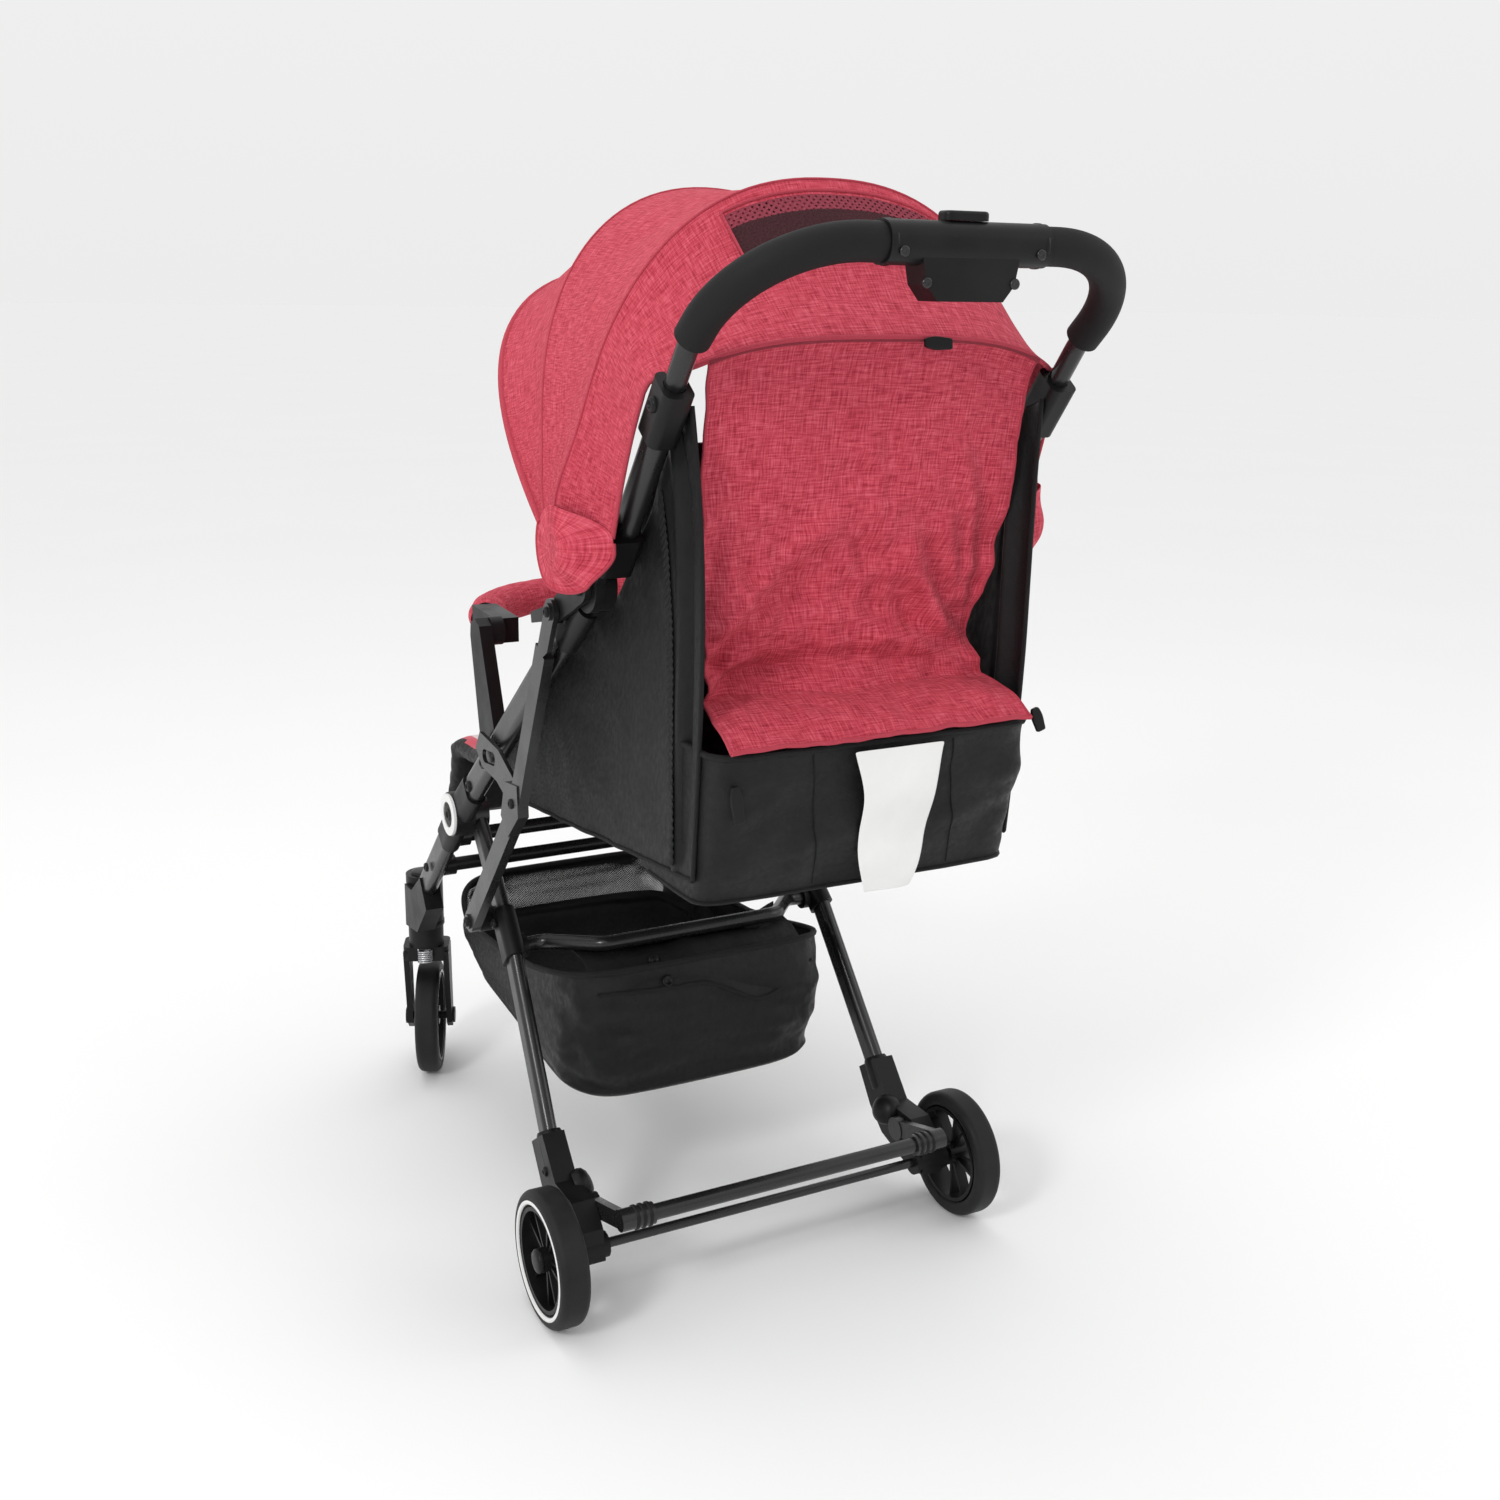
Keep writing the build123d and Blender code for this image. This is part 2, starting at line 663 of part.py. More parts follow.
# ---- write the sub-parts ----
for label, s in SIDES:
    save(front_tube(s), f"front_tube_{label}")
    save(front_leg(s), f"front_leg_{label}")
    save(knuckle(s), f"knuckle_{label}")
    save(caster_housing(s), f"caster_housing_{label}")
    save(caster_fork(s), f"caster_fork_{label}")
    save(tyre(s, True), f"front_tyre_{label}")
    save(rim(s, True), f"front_rim_{label}")
    save(tyre(s, False), f"rear_tyre_{label}")
    save(rim(s, False), f"rear_rim_{label}")
    save(rear_leg(s), f"rear_leg_{label}")
    save(wheel_bracket(s), f"wheel_bracket_{label}")
    save(sleeve(s), f"handle_sleeve_{label}")
    save(hinge_arm(s), f"hinge_arm_{label}")
    save(grip(s), f"handle_grip_{label}")
    save(push_rod(s), f"push_rod_{label}")
    save(side_panel(s), f"side_panel_{label}")
save(knuckle_rings(), "knuckle_rings")
save(hinge_housings(), "hinge_housings")
save(rear_axle(), "rear_axle")
save(leg_clips(), "leg_clips")
save(cross_tube((-410, 370), 186.3), "front_cross_tube")
save(cross_tube((-470, 315), 184.6), "lower_cross_tube")
save(bumper_brackets(), "bumper_brackets")
save(rear_cross_tube(), "rear_cross_tube")
save(brake_bar(), "brake_bar")
save(collars(), "handle_collars")
save(canopy_mounts(), "canopy_mounts")
save(handle_tube(), "handle_tube")
save(handle_cover(), "handle_cover")
save(fold_button(), "fold_button")
save(bumper_bar(), "bumper_bar")
save(bumper_arms(), "bumper_arms")
save(seat_base(), "seat_base")
save(backrest(), "backrest")
save(leg_rest(), "leg_rest")
save(seat_box(), "seat_box")
save(rear_flap(), "rear_flap")
save(basket(), "basket")
for bow_name in BOWS:
    save(canopy_bow(bow_name), f"canopy_bow_{bow_name}")
save(canopy_panel(SEAM, shifted(BOWS["rear"], -0.2)), "canopy_rear_panel")
save(canopy_panel(shifted(BOWS["rear"], 0.2), shifted(BOWS["middle"], -0.2)), "canopy_middle_panel")
save(canopy_panel(shifted(BOWS["middle"], 0.2), BOWS["front"]), "canopy_front_panel")
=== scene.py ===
"""Looks of a folding baby stroller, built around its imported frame.

Metres, +Z up, the child faces -Y. Helper P() takes millimetres measured from the rear axle and the floor.
"""
import math
import random

import bmesh
import bpy
from mathutils import Matrix, Vector, noise


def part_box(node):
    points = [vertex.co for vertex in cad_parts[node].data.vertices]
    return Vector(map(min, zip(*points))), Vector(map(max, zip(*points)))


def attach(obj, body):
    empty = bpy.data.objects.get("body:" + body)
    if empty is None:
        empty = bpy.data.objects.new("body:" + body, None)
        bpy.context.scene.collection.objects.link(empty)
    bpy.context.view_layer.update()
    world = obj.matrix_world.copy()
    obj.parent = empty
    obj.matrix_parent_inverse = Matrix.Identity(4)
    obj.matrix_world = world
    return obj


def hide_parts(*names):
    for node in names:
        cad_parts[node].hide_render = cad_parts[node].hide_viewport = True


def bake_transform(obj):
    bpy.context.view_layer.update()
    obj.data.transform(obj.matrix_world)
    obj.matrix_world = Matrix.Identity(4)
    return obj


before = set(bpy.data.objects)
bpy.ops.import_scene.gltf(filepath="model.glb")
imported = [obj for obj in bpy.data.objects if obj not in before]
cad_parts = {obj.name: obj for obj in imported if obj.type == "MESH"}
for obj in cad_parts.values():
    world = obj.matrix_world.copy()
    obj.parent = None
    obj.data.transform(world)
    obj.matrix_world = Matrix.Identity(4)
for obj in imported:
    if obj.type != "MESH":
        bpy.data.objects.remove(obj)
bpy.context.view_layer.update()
SHIFT = 0.185
PIVOT = (58, 769)
# arches: half width, reach from the pivots, angle above the rear in degrees, squareness
BOWS = {"rear": (226, 296, 87.2, 2.3), "middle": (234, 367, 125.7, 2.03), "front": (242, 398, 145.4, 2.5)}
SEAM = (226, 207.5, 55.7, 3.2)
ARCH_STEPS = 3000
HANDLE_Y, HANDLE_Z = 0.6008, 0.7994  # direction of the handle's tubes
EAR = 34  # radius inside which the ears cover the pivots
EAR_FACE = 248.9  # distance of the ears' flat face from the middle plane
BUNCH = 247.2  # distance of the cloth from the middle plane beside the stacked bow ends
HEM_FREE = 176  # distance from the pivots beyond which the rear hem leaves the sleeves


def P(x, y, z):
    """Row metres of a point in millimetres from the rear axle and the floor."""
    return Vector((x / 1000, y / 1000 + SHIFT, z / 1000))


# ---------------------------------------------------------------- materials
def material(name, color, rough=0.6, metal=0.0, sheen=0.0, specular=0.5):
    m = bpy.data.materials.new(name)
    m.use_nodes = True
    t = m.node_tree
    b = t.nodes["Principled BSDF"]
    b.inputs["Base Color"].default_value = (*color, 1)
    b.inputs["Roughness"].default_value = rough
    b.inputs["Metallic"].default_value = metal
    b.inputs["Specular IOR Level"].default_value = specular
    if sheen:
        b.inputs["Sheen Weight"].default_value = sheen
        b.inputs["Sheen Roughness"].default_value = 0.5
    return m, t, b


def node(t, kind, **values):
    n = t.nodes.new(kind)
    for key, value in values.items():
        if key in n.inputs:
            n.inputs[key].default_value = value
        else:
            setattr(n, key, value)
    return n


def coords(t, uv, scale, turn=0.0):
    c = node(t, "ShaderNodeTexCoord")
    m = node(t, "ShaderNodeMapping")
    m.inputs["Scale"].default_value = scale
    m.inputs["Rotation"].default_value = (0, 0, turn)
    t.links.new(c.outputs["UV" if uv else "Object"], m.inputs["Vector"])
    return m.outputs["Vector"]


def noise_tex(t, vec, scale, detail=3.0, rough=0.5):
    n = node(t, "ShaderNodeTexNoise", Scale=scale, Detail=detail, Roughness=rough)
    t.links.new(vec, n.inputs["Vector"])
    return n.outputs["Fac"]


def ramp(t, fac, stops):
    r = node(t, "ShaderNodeValToRGB")
    e = r.color_ramp.elements
    e[0].position, e[0].color = stops[0][0], (*stops[0][1], 1)
    e[1].position, e[1].color = stops[-1][0], (*stops[-1][1], 1)
    for pos, col in stops[1:-1]:
        k = e.new(pos)
        k.color = (*col, 1)
    t.links.new(fac, r.inputs["Fac"])
    return r.outputs["Color"]


def math_node(t, op, a, b):
    """Math node of two values; the third, which only MULTIPLY_ADD reads, is 0.5."""
    n = node(t, "ShaderNodeMath", operation=op)
    n.inputs[2].default_value = 0.5
    for i, v in enumerate((a, b)):
        if isinstance(v, (int, float)):
            n.inputs[i].default_value = v
        else:
            t.links.new(v, n.inputs[i])
    return n.outputs[0]


def mix_color(t, fac, a, b, kind="MIX"):
    n = node(t, "ShaderNodeMix", data_type="RGBA", blend_type=kind)
    for i, v in ((0, fac), (6, a), (7, b)):
        if isinstance(v, (int, float)):
            n.inputs[i].default_value = v
        elif isinstance(v, tuple):
            n.inputs[i].default_value = (*v, 1)
        else:
            t.links.new(v, n.inputs[i])
    return n.outputs[2]


def bump(t, b, height, strength, distance):
    n = node(t, "ShaderNodeBump", Strength=strength, Distance=distance)
    t.links.new(height, n.inputs["Height"])
    t.links.new(n.outputs["Normal"], b.inputs["Normal"])


def wave(t, vec, scale, axis, distortion=0.0):
    n = node(t, "ShaderNodeTexWave", wave_type="BANDS", bands_direction=axis, wave_profile="SIN")
    n.inputs["Scale"].default_value = scale
    n.inputs["Distortion"].default_value = distortion
    t.links.new(vec, n.inputs["Vector"])
    return n.outputs["Fac"]


# cloth looks: uv=False is for pads, whose meshes have no UV map
def melange(name, dark, mid, light, uv=True):
    """Plain weave of two-tone yarns: crossing slubs of darker and lighter thread."""
    m, t, b = material(name, mid, 0.88, sheen=0.04, specular=0.12)
    u, v = ("X", "Y") if uv else ("X", "Z")
    long_u = (50, 620, 620)
    long_v = (620, 50, 620) if uv else (620, 620, 50)
    f1 = noise_tex(t, coords(t, uv, long_u), 1.0, 2.5, 0.6)
    f2 = noise_tex(t, coords(t, uv, long_v), 1.0, 2.5, 0.6)
    yarn = math_node(t, "ADD", math_node(t, "MULTIPLY", f1, 0.5), math_node(t, "MULTIPLY", f2, 0.5))
    color = ramp(t, yarn, [(0.36, dark), (0.5, mid), (0.64, light)])
    broad = noise_tex(t, coords(t, uv, (9, 9, 9)), 1.0, 2.0)
    color = mix_color(t, math_node(t, "MULTIPLY", broad, 0.22), color, dark)
    t.links.new(color, b.inputs["Base Color"])
    vec = coords(t, uv, (1, 1, 1))
    weave = math_node(t, "MULTIPLY", wave(t, vec, 260, u, 0.4), wave(t, vec, 260, v, 0.4))
    height = math_node(t, "ADD", math_node(t, "MULTIPLY", weave, 0.6), yarn)
    crumple = noise_tex(t, coords(t, uv, (38, 38, 38)), 1.0, 4.0, 0.55)
    height = math_node(t, "ADD", height, math_node(t, "MULTIPLY", crumple, 2.2))
    bump(t, b, height, 0.55, 0.0012)
    t.links.new(ramp(t, yarn, [(0.3, (0.95,) * 3), (0.7, (0.8,) * 3)]), b.inputs["Roughness"])
    return m


def nylon(name, color, uv=True, rough=0.43):
    """Dense black oxford nylon with a slight crumple."""
    m, t, b = material(name, color, rough, specular=0.24)
    vec = coords(t, uv, (1, 1, 1))
    u, v = ("X", "Y") if uv else ("X", "Z")
    weave = math_node(t, "MULTIPLY", wave(t, vec, 420, u), wave(t, vec, 420, v))
    crumple = noise_tex(t, coords(t, uv, (26, 26, 26)), 1.0, 5.0, 0.55)
    fine = noise_tex(t, coords(t, uv, (160, 160, 160)), 1.0, 2.0)
    folds = math_node(t, "MULTIPLY", crumple, 3.2)
    height = math_node(t, "ADD", math_node(t, "MULTIPLY", weave, 0.25), folds)
    bump(t, b, math_node(t, "ADD", height, math_node(t, "MULTIPLY", fine, 0.3)), 0.6, 0.0016)
    # the base colour turns lighter where the crumple raises folds: painted highlight on the fold crests
    painted_crest_light = tuple(min(1, c * 1.5 + 0.001) for c in color)
    t.links.new(ramp(t, crumple, [(0.3, color), (0.75, painted_crest_light)]), b.inputs["Base Color"])
    gloss = ramp(t, fine, [(0.3, (rough - 0.08,) * 3), (0.7, (rough + 0.12,) * 3)])
    t.links.new(gloss, b.inputs["Roughness"])
    return m


def plastic(name, color, rough=0.5, grain=900, depth=0.0002, metal=0.0, wear=0.03, gloss=0.22):
    """Moulded or coated surface with fine grain and slightly rubbed patches."""
    m, t, b = material(name, color, rough, metal, specular=gloss)
    g = noise_tex(t, coords(t, False, (grain, grain, grain)), 1.0, 2.0)
    p = noise_tex(t, coords(t, False, (22, 22, 22)), 1.0, 4.0, 0.6)
    bump(t, b, g, 0.5, depth)
    t.links.new(ramp(t, p, [(0.35, color), (0.8, tuple(c + wear for c in color))]), b.inputs["Base Color"])
    t.links.new(ramp(t, p, [(0.3, (rough - 0.07,) * 3), (0.7, (rough + 0.1,) * 3)]), b.inputs["Roughness"])
    return m


def netting(name, thread, scale, fill=0.42, uv=True):
    """Open net: threads stay, the holes between them are see-through."""
    m, t, b = material(name, thread, 0.8, specular=0.2)
    vec = coords(t, uv, (1, 1, 1), math.radians(45))
    a = wave(t, vec, scale, "X")
    c = wave(t, vec, scale, "Y")
    low = math_node(t, "MINIMUM", a, c)
    holes = math_node(t, "GREATER_THAN", low, fill)
    speck = noise_tex(t, coords(t, uv, (500, 500, 500)), 1.0)
    t.links.new(ramp(t, speck, [(0.3, thread), (0.7, tuple(min(1, k * 1.8 + 0.01) for k in thread))]),
                b.inputs["Base Color"])
    clear = node(t, "ShaderNodeBsdfTransparent")
    mix = node(t, "ShaderNodeMixShader")
    t.links.new(holes, mix.inputs[0])
    t.links.new(b.outputs[0], mix.inputs[1])
    t.links.new(clear.outputs[0], mix.inputs[2])
    t.links.new(mix.outputs[0], t.nodes["Material Output"].inputs["Surface"])
    return m


RED = ((0.34, 0.026, 0.046), (0.60, 0.066, 0.102), (0.76, 0.14, 0.19))
M = {
    "red": melange("red_melange", *RED),
    "red3d": melange("red_melange_pad", *RED, uv=False),
    # darker copy of the red melange: painted shade, used for the piping in the shade under the canopy's rear
    # hem
    "red_painted_shade": melange("red_melange_painted_shade", (0.20, 0.02, 0.035), (0.32, 0.04, 0.06), (0.40, 0.08, 0.10)),
    "nylon": nylon("black_nylon", (0.0055, 0.0055, 0.006)),
    "nylon3d": nylon("black_nylon_pad", (0.0055, 0.0055, 0.006), uv=False),
    "paint": plastic("powder_coat", (0.010, 0.010, 0.011), 0.26, 1500, 0.00006, 0.0, 0.004, 0.5),
    "plastic": plastic("moulded_black", (0.0055, 0.0055, 0.006), 0.40, 1100, 0.0001, 0.0, 0.004),
    "foam": plastic("foam_grip", (0.0075, 0.0075, 0.008), 0.66, 1400, 0.0004, 0.0, 0.005),
    "tyre": plastic("foam_tyre", (0.009, 0.009, 0.0095), 0.55, 700, 0.0004, 0.0, 0.012),
    "white": plastic("white_trim", (0.78, 0.78, 0.77), 0.35, 800, 0.0001, 0.0, 0.04),
    "steel": plastic("bright_steel", (0.45, 0.45, 0.46), 0.28, 1800, 0.0001, 1.0, 0.08),
    "label": plastic("label_ribbon", (0.80, 0.80, 0.79), 0.7, 1600, 0.0003, 0.0, 0.06),
    "net": netting("window_net", (0.035, 0.008, 0.011), 150, 0.66),
    "net_coarse": netting("window_net_coarse", (0.17, 0.025, 0.04), 70, 0.62),
    "net_black": netting("basket_net", (0.012, 0.012, 0.013), 150, 0.60),
    "web": nylon("webbing", (0.009, 0.009, 0.0095), True, 0.6),
}


def stripes():
    m, t, b = material("liner_stripes", (0.6, 0.1, 0.14), 0.85, sheen=0.2)
    vec = coords(t, False, (1, 1, 1))
    band = wave(t, vec, 9.5, "X")
    grain = noise_tex(t, coords(t, False, (500, 500, 500)), 1.0)
    col = ramp(t, band, [(0.42, RED[1]), (0.5, (0.78, 0.45, 0.47)), (0.62, (0.74, 0.70, 0.69))])
    t.links.new(mix_color(t, math_node(t, "MULTIPLY", grain, 0.3), col, (0.3, 0.05, 0.07)),
                b.inputs["Base Color"])
    rib = wave(t, coords(t, False, (1, 1, 1)), 300, "X")
    bump(t, b, math_node(t, "ADD", rib, grain), 0.4, 0.0006)
    return m


M["stripes"] = stripes()


# ---------------------------------------------------------------- mesh helpers
def new_object(name, mesh, mat, body, replaces=()):
    ob = bpy.data.objects.new(name, mesh)
    bpy.context.scene.collection.objects.link(ob)
    mats = mat if isinstance(mat, (list, tuple)) else [mat]
    for k in mats:
        mesh.materials.append(k)
    for p in mesh.polygons:
        p.use_smooth = True
    if body:
        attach(ob, body)
    if replaces:
        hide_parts(*replaces)
    return ob


def grid(name, fn, nu, nv, mat, body, thick=0.0012, pick=None, closed=False, subdiv=1, replaces=()):
    """Cloth sheet from fn(u, v) in row metres, with UVs in metres, a thickness and one subdivision."""
    pts = [[fn(i / nu, j / nv) for i in range(nu + 1)] for j in range(nv + 1)]
    mesh = bpy.data.meshes.new(name)
    bm = bmesh.new()
    cols = nu if closed else nu + 1
    vs = [[bm.verts.new(pts[j][i]) for i in range(cols)] for j in range(nv + 1)]
    uvl = bm.loops.layers.uv.new("UVMap")
    du = [0.0]
    mid = pts[nv // 2]
    for i in range(nu):
        du.append(du[-1] + (mid[i + 1] - mid[i]).length)
    dv = [0.0]
    for j in range(nv):
        dv.append(dv[-1] + (pts[j + 1][nu // 2] - pts[j][nu // 2]).length)
    for j in range(nv):
        for i in range(nu):
            k = (i + 1) % cols
            f = bm.faces.new((vs[j][i], vs[j][k], vs[j + 1][k], vs[j + 1][i]))
            for loop, (a, c) in zip(f.loops, ((i, j), (i + 1, j), (i + 1, j + 1), (i, j + 1))):
                loop[uvl].uv = (du[a], dv[c])
            if pick:
                f.material_index = pick((i + 0.5) / nu, (j + 0.5) / nv)
    bm.normal_update()
    area = sum(f.calc_area() for f in bm.faces)
    bm.to_mesh(mesh)
    bm.free()
    ob = new_object(name, mesh, mat, body, replaces)
    if thick:
        s = ob.modifiers.new("thickness", "SOLIDIFY")
        s.thickness = thick
        s.offset = 0
    if subdiv:
        s = ob.modifiers.new("smooth", "SUBSURF")
        s.levels = s.render_levels = subdiv
    return ob


def tube(name, pts, radius, mat, body, closed=False, sides=10):
    """Round piping or wire along points."""
    c = bpy.data.curves.new(name, "CURVE")
    c.dimensions = "3D"
    c.bevel_depth = radius
    c.bevel_resolution = max(1, sides // 4)
    c.use_fill_caps = True
    s = c.splines.new("POLY")
    s.points.add(len(pts) - 1)
    for p, q in zip(s.points, pts):
        p.co = (*q, 1)
    s.use_cyclic_u = closed
    ob = bpy.data.objects.new(name, c)
    bpy.context.scene.collection.objects.link(ob)
    dg = bpy.context.evaluated_depsgraph_get()
    mesh = bpy.data.meshes.new_from_object(ob.evaluated_get(dg))
    bpy.data.objects.remove(ob)
    return new_object(name, mesh, mat, body)


def join(name, obs, mat, body):
    """Several small pieces of one kind as one object."""
    bm = bmesh.new()
    for ob in obs:
        me = ob.data.copy()
        me.transform(ob.matrix_world)
        bm.from_mesh(me)
        bpy.data.objects.remove(ob)
    mesh = bpy.data.meshes.new(name)
    bm.to_mesh(mesh)
    bm.free()
    return new_object(name, mesh, mat, body)


def lathe_mesh(name, profile, centre, axis, steps=40):
    """Turned shape: profile is (radius, height) pairs along the axis."""
    bm = bmesh.new()
    z = Vector(axis).normalized()
    x = z.orthogonal().normalized()
    y = z.cross(x)
    rings = []
    for r, h in profile:
        if r <= 1e-6:
            rings.append([bm.verts.new(centre + z * h)])
        else:
            rings.append([bm.verts.new(centre + z * h + (x * math.cos(a) + y * math.sin(a)) * r)
                          for a in (2 * math.pi * k / steps for k in range(steps))])
    for a, b in zip(rings, rings[1:]):
        for k in range(steps):
            n = (k + 1) % steps
            if len(a) == 1:
                bm.faces.new((a[0], b[n], b[k]))
            elif len(b) == 1:
                bm.faces.new((a[k], a[n], b[0]))
            else:
                bm.faces.new((a[k], a[n], b[n], b[k]))
    bmesh.ops.recalc_face_normals(bm, faces=bm.faces)
    mesh = bpy.data.meshes.new(name)
    bm.to_mesh(mesh)
    bm.free()
    return mesh


def sgnpow(c, e):
    return math.copysign(abs(c) ** e, c)


def hump(distance, width):
    """1 at no distance, and close to 0 beyond two widths."""
    return math.exp(-(distance / width) ** 2)


def ease(f):
    """0 to 1 with a flat start and end."""
    return f * f * (3 - 2 * f)


def arch_point(arch, turn, grow=0.0):
    half, reach, angle, square = arch
    c, s = math.cos(turn), math.sin(turn)
    rise = (reach + grow) * abs(s) ** (2 / square)
    a = math.radians(angle)
    x = (half + grow) * sgnpow(c, 2 / square)
    return P(x, PIVOT[0] + rise * math.cos(a), PIVOT[1] + rise * math.sin(a))


def arch_by_length(arch, grow, n):
    """Points spread evenly along an arch, from beside the left pivot to beside the right one."""
    first = math.asin((EAR / (arch[1] + grow)) ** (arch[3] / 2))
    span = math.pi - 2 * first
    fine = [arch_point(arch, first + span * k / ARCH_STEPS, grow) for k in range(ARCH_STEPS + 1)]
    acc = [0.0]
    for a, b in zip(fine, fine[1:]):
        acc.append(acc[-1] + (b - a).length)
    out, k = [], 0
    for i in range(n + 1):
        target = acc[-1] * i / n
        while k < ARCH_STEPS - 1 and acc[k + 1] < target:
            k += 1
        f = (target - acc[k]) / max(1e-9, acc[k + 1] - acc[k])
        out.append(fine[k].lerp(fine[k + 1], min(1, max(0, f))))
    if arch is SEAM:
        return [hem_point(q) for q in out]
    return [q + Vector((math.copysign(bulge(arch, grow, q), q.x), 0, 0)) for q in out]


def reach_of(q):
    return math.hypot(q.y - P(0, PIVOT[0], 0).y, q.z - PIVOT[1] / 1000) * 1000


def bulge(arch, grow, q):
    """Near the pivots the cloth lies outside the stacked bow ends."""
    return (BUNCH - arch[0] - grow) / 1000 * hump(reach_of(q) - EAR, 48)


EDGE_LOW, EDGE_HIGH = (208, 89, 778), (199.5, 139, 909.5)


def hem_point(q):
    """The rear hem lies beside the sleeves low down and bends in front of the handle's tubes higher up."""
    reach = reach_of(q)
    x = abs(q.x) * 1000
    front = 0.0125 * hump(x - 197, 17)
    arch_q = Vector((q.x, q.y - HANDLE_Z * front, q.z + HANDLE_Y * front))
    if reach > HEM_FREE:
        return arch_q
    lo, hi = 0.0, 1.25
    for _ in range(24):
        t = (lo + hi) / 2
        y = EDGE_LOW[1] + (EDGE_HIGH[1] - EDGE_LOW[1]) * t - PIVOT[0]
        z = EDGE_LOW[2] + (EDGE_HIGH[2] - EDGE_LOW[2]) * t - PIVOT[1]
        lo, hi = (t, hi) if math.hypot(y, z) < reach else (lo, t)
    line = P(math.copysign(EDGE_LOW[0] + (EDGE_HIGH[0] - EDGE_LOW[0]) * t ** 3, q.x),
             EDGE_LOW[1] + (EDGE_HIGH[1] - EDGE_LOW[1]) * t, EDGE_LOW[2] + (EDGE_HIGH[2] - EDGE_LOW[2]) * t)
    return line.lerp(arch_q, ease(min(1, max(0, (reach - HEM_FREE + 30) / 30))))


def wrinkle(p, scale, amount, seed=0.0):
    return noise.noise(p * scale + Vector((seed, seed * 0.7, -seed))) * amount


# ---------------------------------------------------------------- carried-over CAD nodes
def finish_for(name):
    if "tyre" in name:
        return M["tyre"]
    if name.startswith("handle_grip"):
        return M["foam"]
    if name == "knuckle_rings":
        return M["white"]
    paint = ("front_tube", "front_leg", "rear_leg", "handle_sleeve", "push_rod", "front_cross", "lower_cross",
             "rear_cross", "handle_tube", "brake_bar", "rear_axle")
    return M["paint"] if name.startswith(paint) else M["plastic"]


for node_name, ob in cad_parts.items():
    ob.data.materials.clear()
    ob.data.materials.append(finish_for(node_name))

# ---------------------------------------------------------------- canopy
NU = 72
GROW = 5.6


def canopy_panel(name, rear, front, mats, replaced, sag, pick, seed):
    """Panel between two arches, slack in the middle; gives the panel and the points of both arches."""
    a = arch_by_length(rear, GROW, NU)
    b = arch_by_length(front, GROW, NU)
    centre = P(0, *PIVOT)

    def at(u, v):
        i = min(NU, max(0, round(u * NU)))
        p = a[i].lerp(b[i], v)
        out = Vector((p.x * 0.6, p.y - centre.y, p.z - centre.z)).normalized()
        edge = 4 * v * (1 - v)
        side = max(0.0, math.sin(math.pi * u)) ** 0.4
        p = p - out * sag * edge * side
        rib = math.exp(-((v * 9) ** 2)) + math.exp(-(((1 - v) * 9) ** 2))
        p = p + out * 0.0009 * rib
        p = p + out * wrinkle(p, 11, 0.0055, seed) * edge * side
        p = p + out * wrinkle(Vector((p.x * 3, p.y, p.z)), 30, 0.0018, seed + 4) * edge * side
        return p

    return grid(name, at, NU, 22, mats, None, 0.0011, pick, replaces=(replaced,)), a, b


def window(u, v):
    """Rear panel: fine net in the middle with a coarse band under the bow."""
    if 0.36 < u < 0.64 and 0.50 < v < 0.93:
        return 2 if v > 0.84 else 1
    return 0


def across(ob):
    """Bakes the panel's placement into its mesh."""
    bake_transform(ob)


rear_panel, seam_pts, rear_arc = canopy_panel(
    "canopy_rear_fabric", SEAM, BOWS["rear"], [M["red"], M["net"], M["net_coarse"]],
    "canopy_rear_panel", 0.003, window, 1.0)
across(rear_panel)
middle_panel, _, middle_arc = canopy_panel(
    "canopy_middle_fabric", BOWS["rear"], BOWS["middle"], [M["red"]], "canopy_middle_panel", 0.007, None, 2.0)
across(middle_panel)
front_panel, _, front_arc = canopy_panel(
    "canopy_front_fabric", BOWS["middle"], BOWS["front"], [M["red"]], "canopy_front_panel", 0.008, None, 3.0)
across(front_panel)
tube("canopy_hem_rear", seam_pts, 0.0022, M["red"], "handle_frame", sides=12)
tube("canopy_hem_front", front_arc, 0.0034, M["red"], "canopy_front", sides=12)
for which, pts in (("rear", rear_arc), ("middle", middle_arc)):
    tube("canopy_seam_" + which, [p + (p - P(0, *PIVOT)).normalized() * 0.0012 for p in pts], 0.0012,
         M["red"], "canopy_" + which, sides=8)


def window_tape():
    """Narrow tape around the net window, just outside the rear panel."""
    a = arch_by_length(SEAM, GROW + 1.2, NU)
    b = arch_by_length(BOWS["rear"], GROW + 1.2, NU)
    across_u = [0.362 + 0.276 * k / 24 for k in range(25)]
    pts = []
    for u, v in [(u, 0.50) for u in across_u] + [(u, 0.925) for u in across_u[::-1]]:
        k = u * NU
        i = int(k)
        pts.append(a[i].lerp(a[min(NU, i + 1)], k - i).lerp(b[i].lerp(b[min(NU, i + 1)], k - i), v))
    tube("window_tape", pts, 0.0016, M["red"], "handle_frame", closed=True, sides=8)


window_tape()


def ear_edge(a):
    """Distance from the middle plane of the ear's rim at an angle measured from the rear."""
    a = a % 360
    stops = [(0, 208), (20, 208), (80, 246.6), (145, 247.6), (235, 246.6), (310, 226), (360, 208)]
    for (a0, x0), (a1, x1) in zip(stops, stops[1:]):
        if a <= a1:
            f = (a - a0) / (a1 - a0)
            return x0 + (x1 - x0) * ease(f)


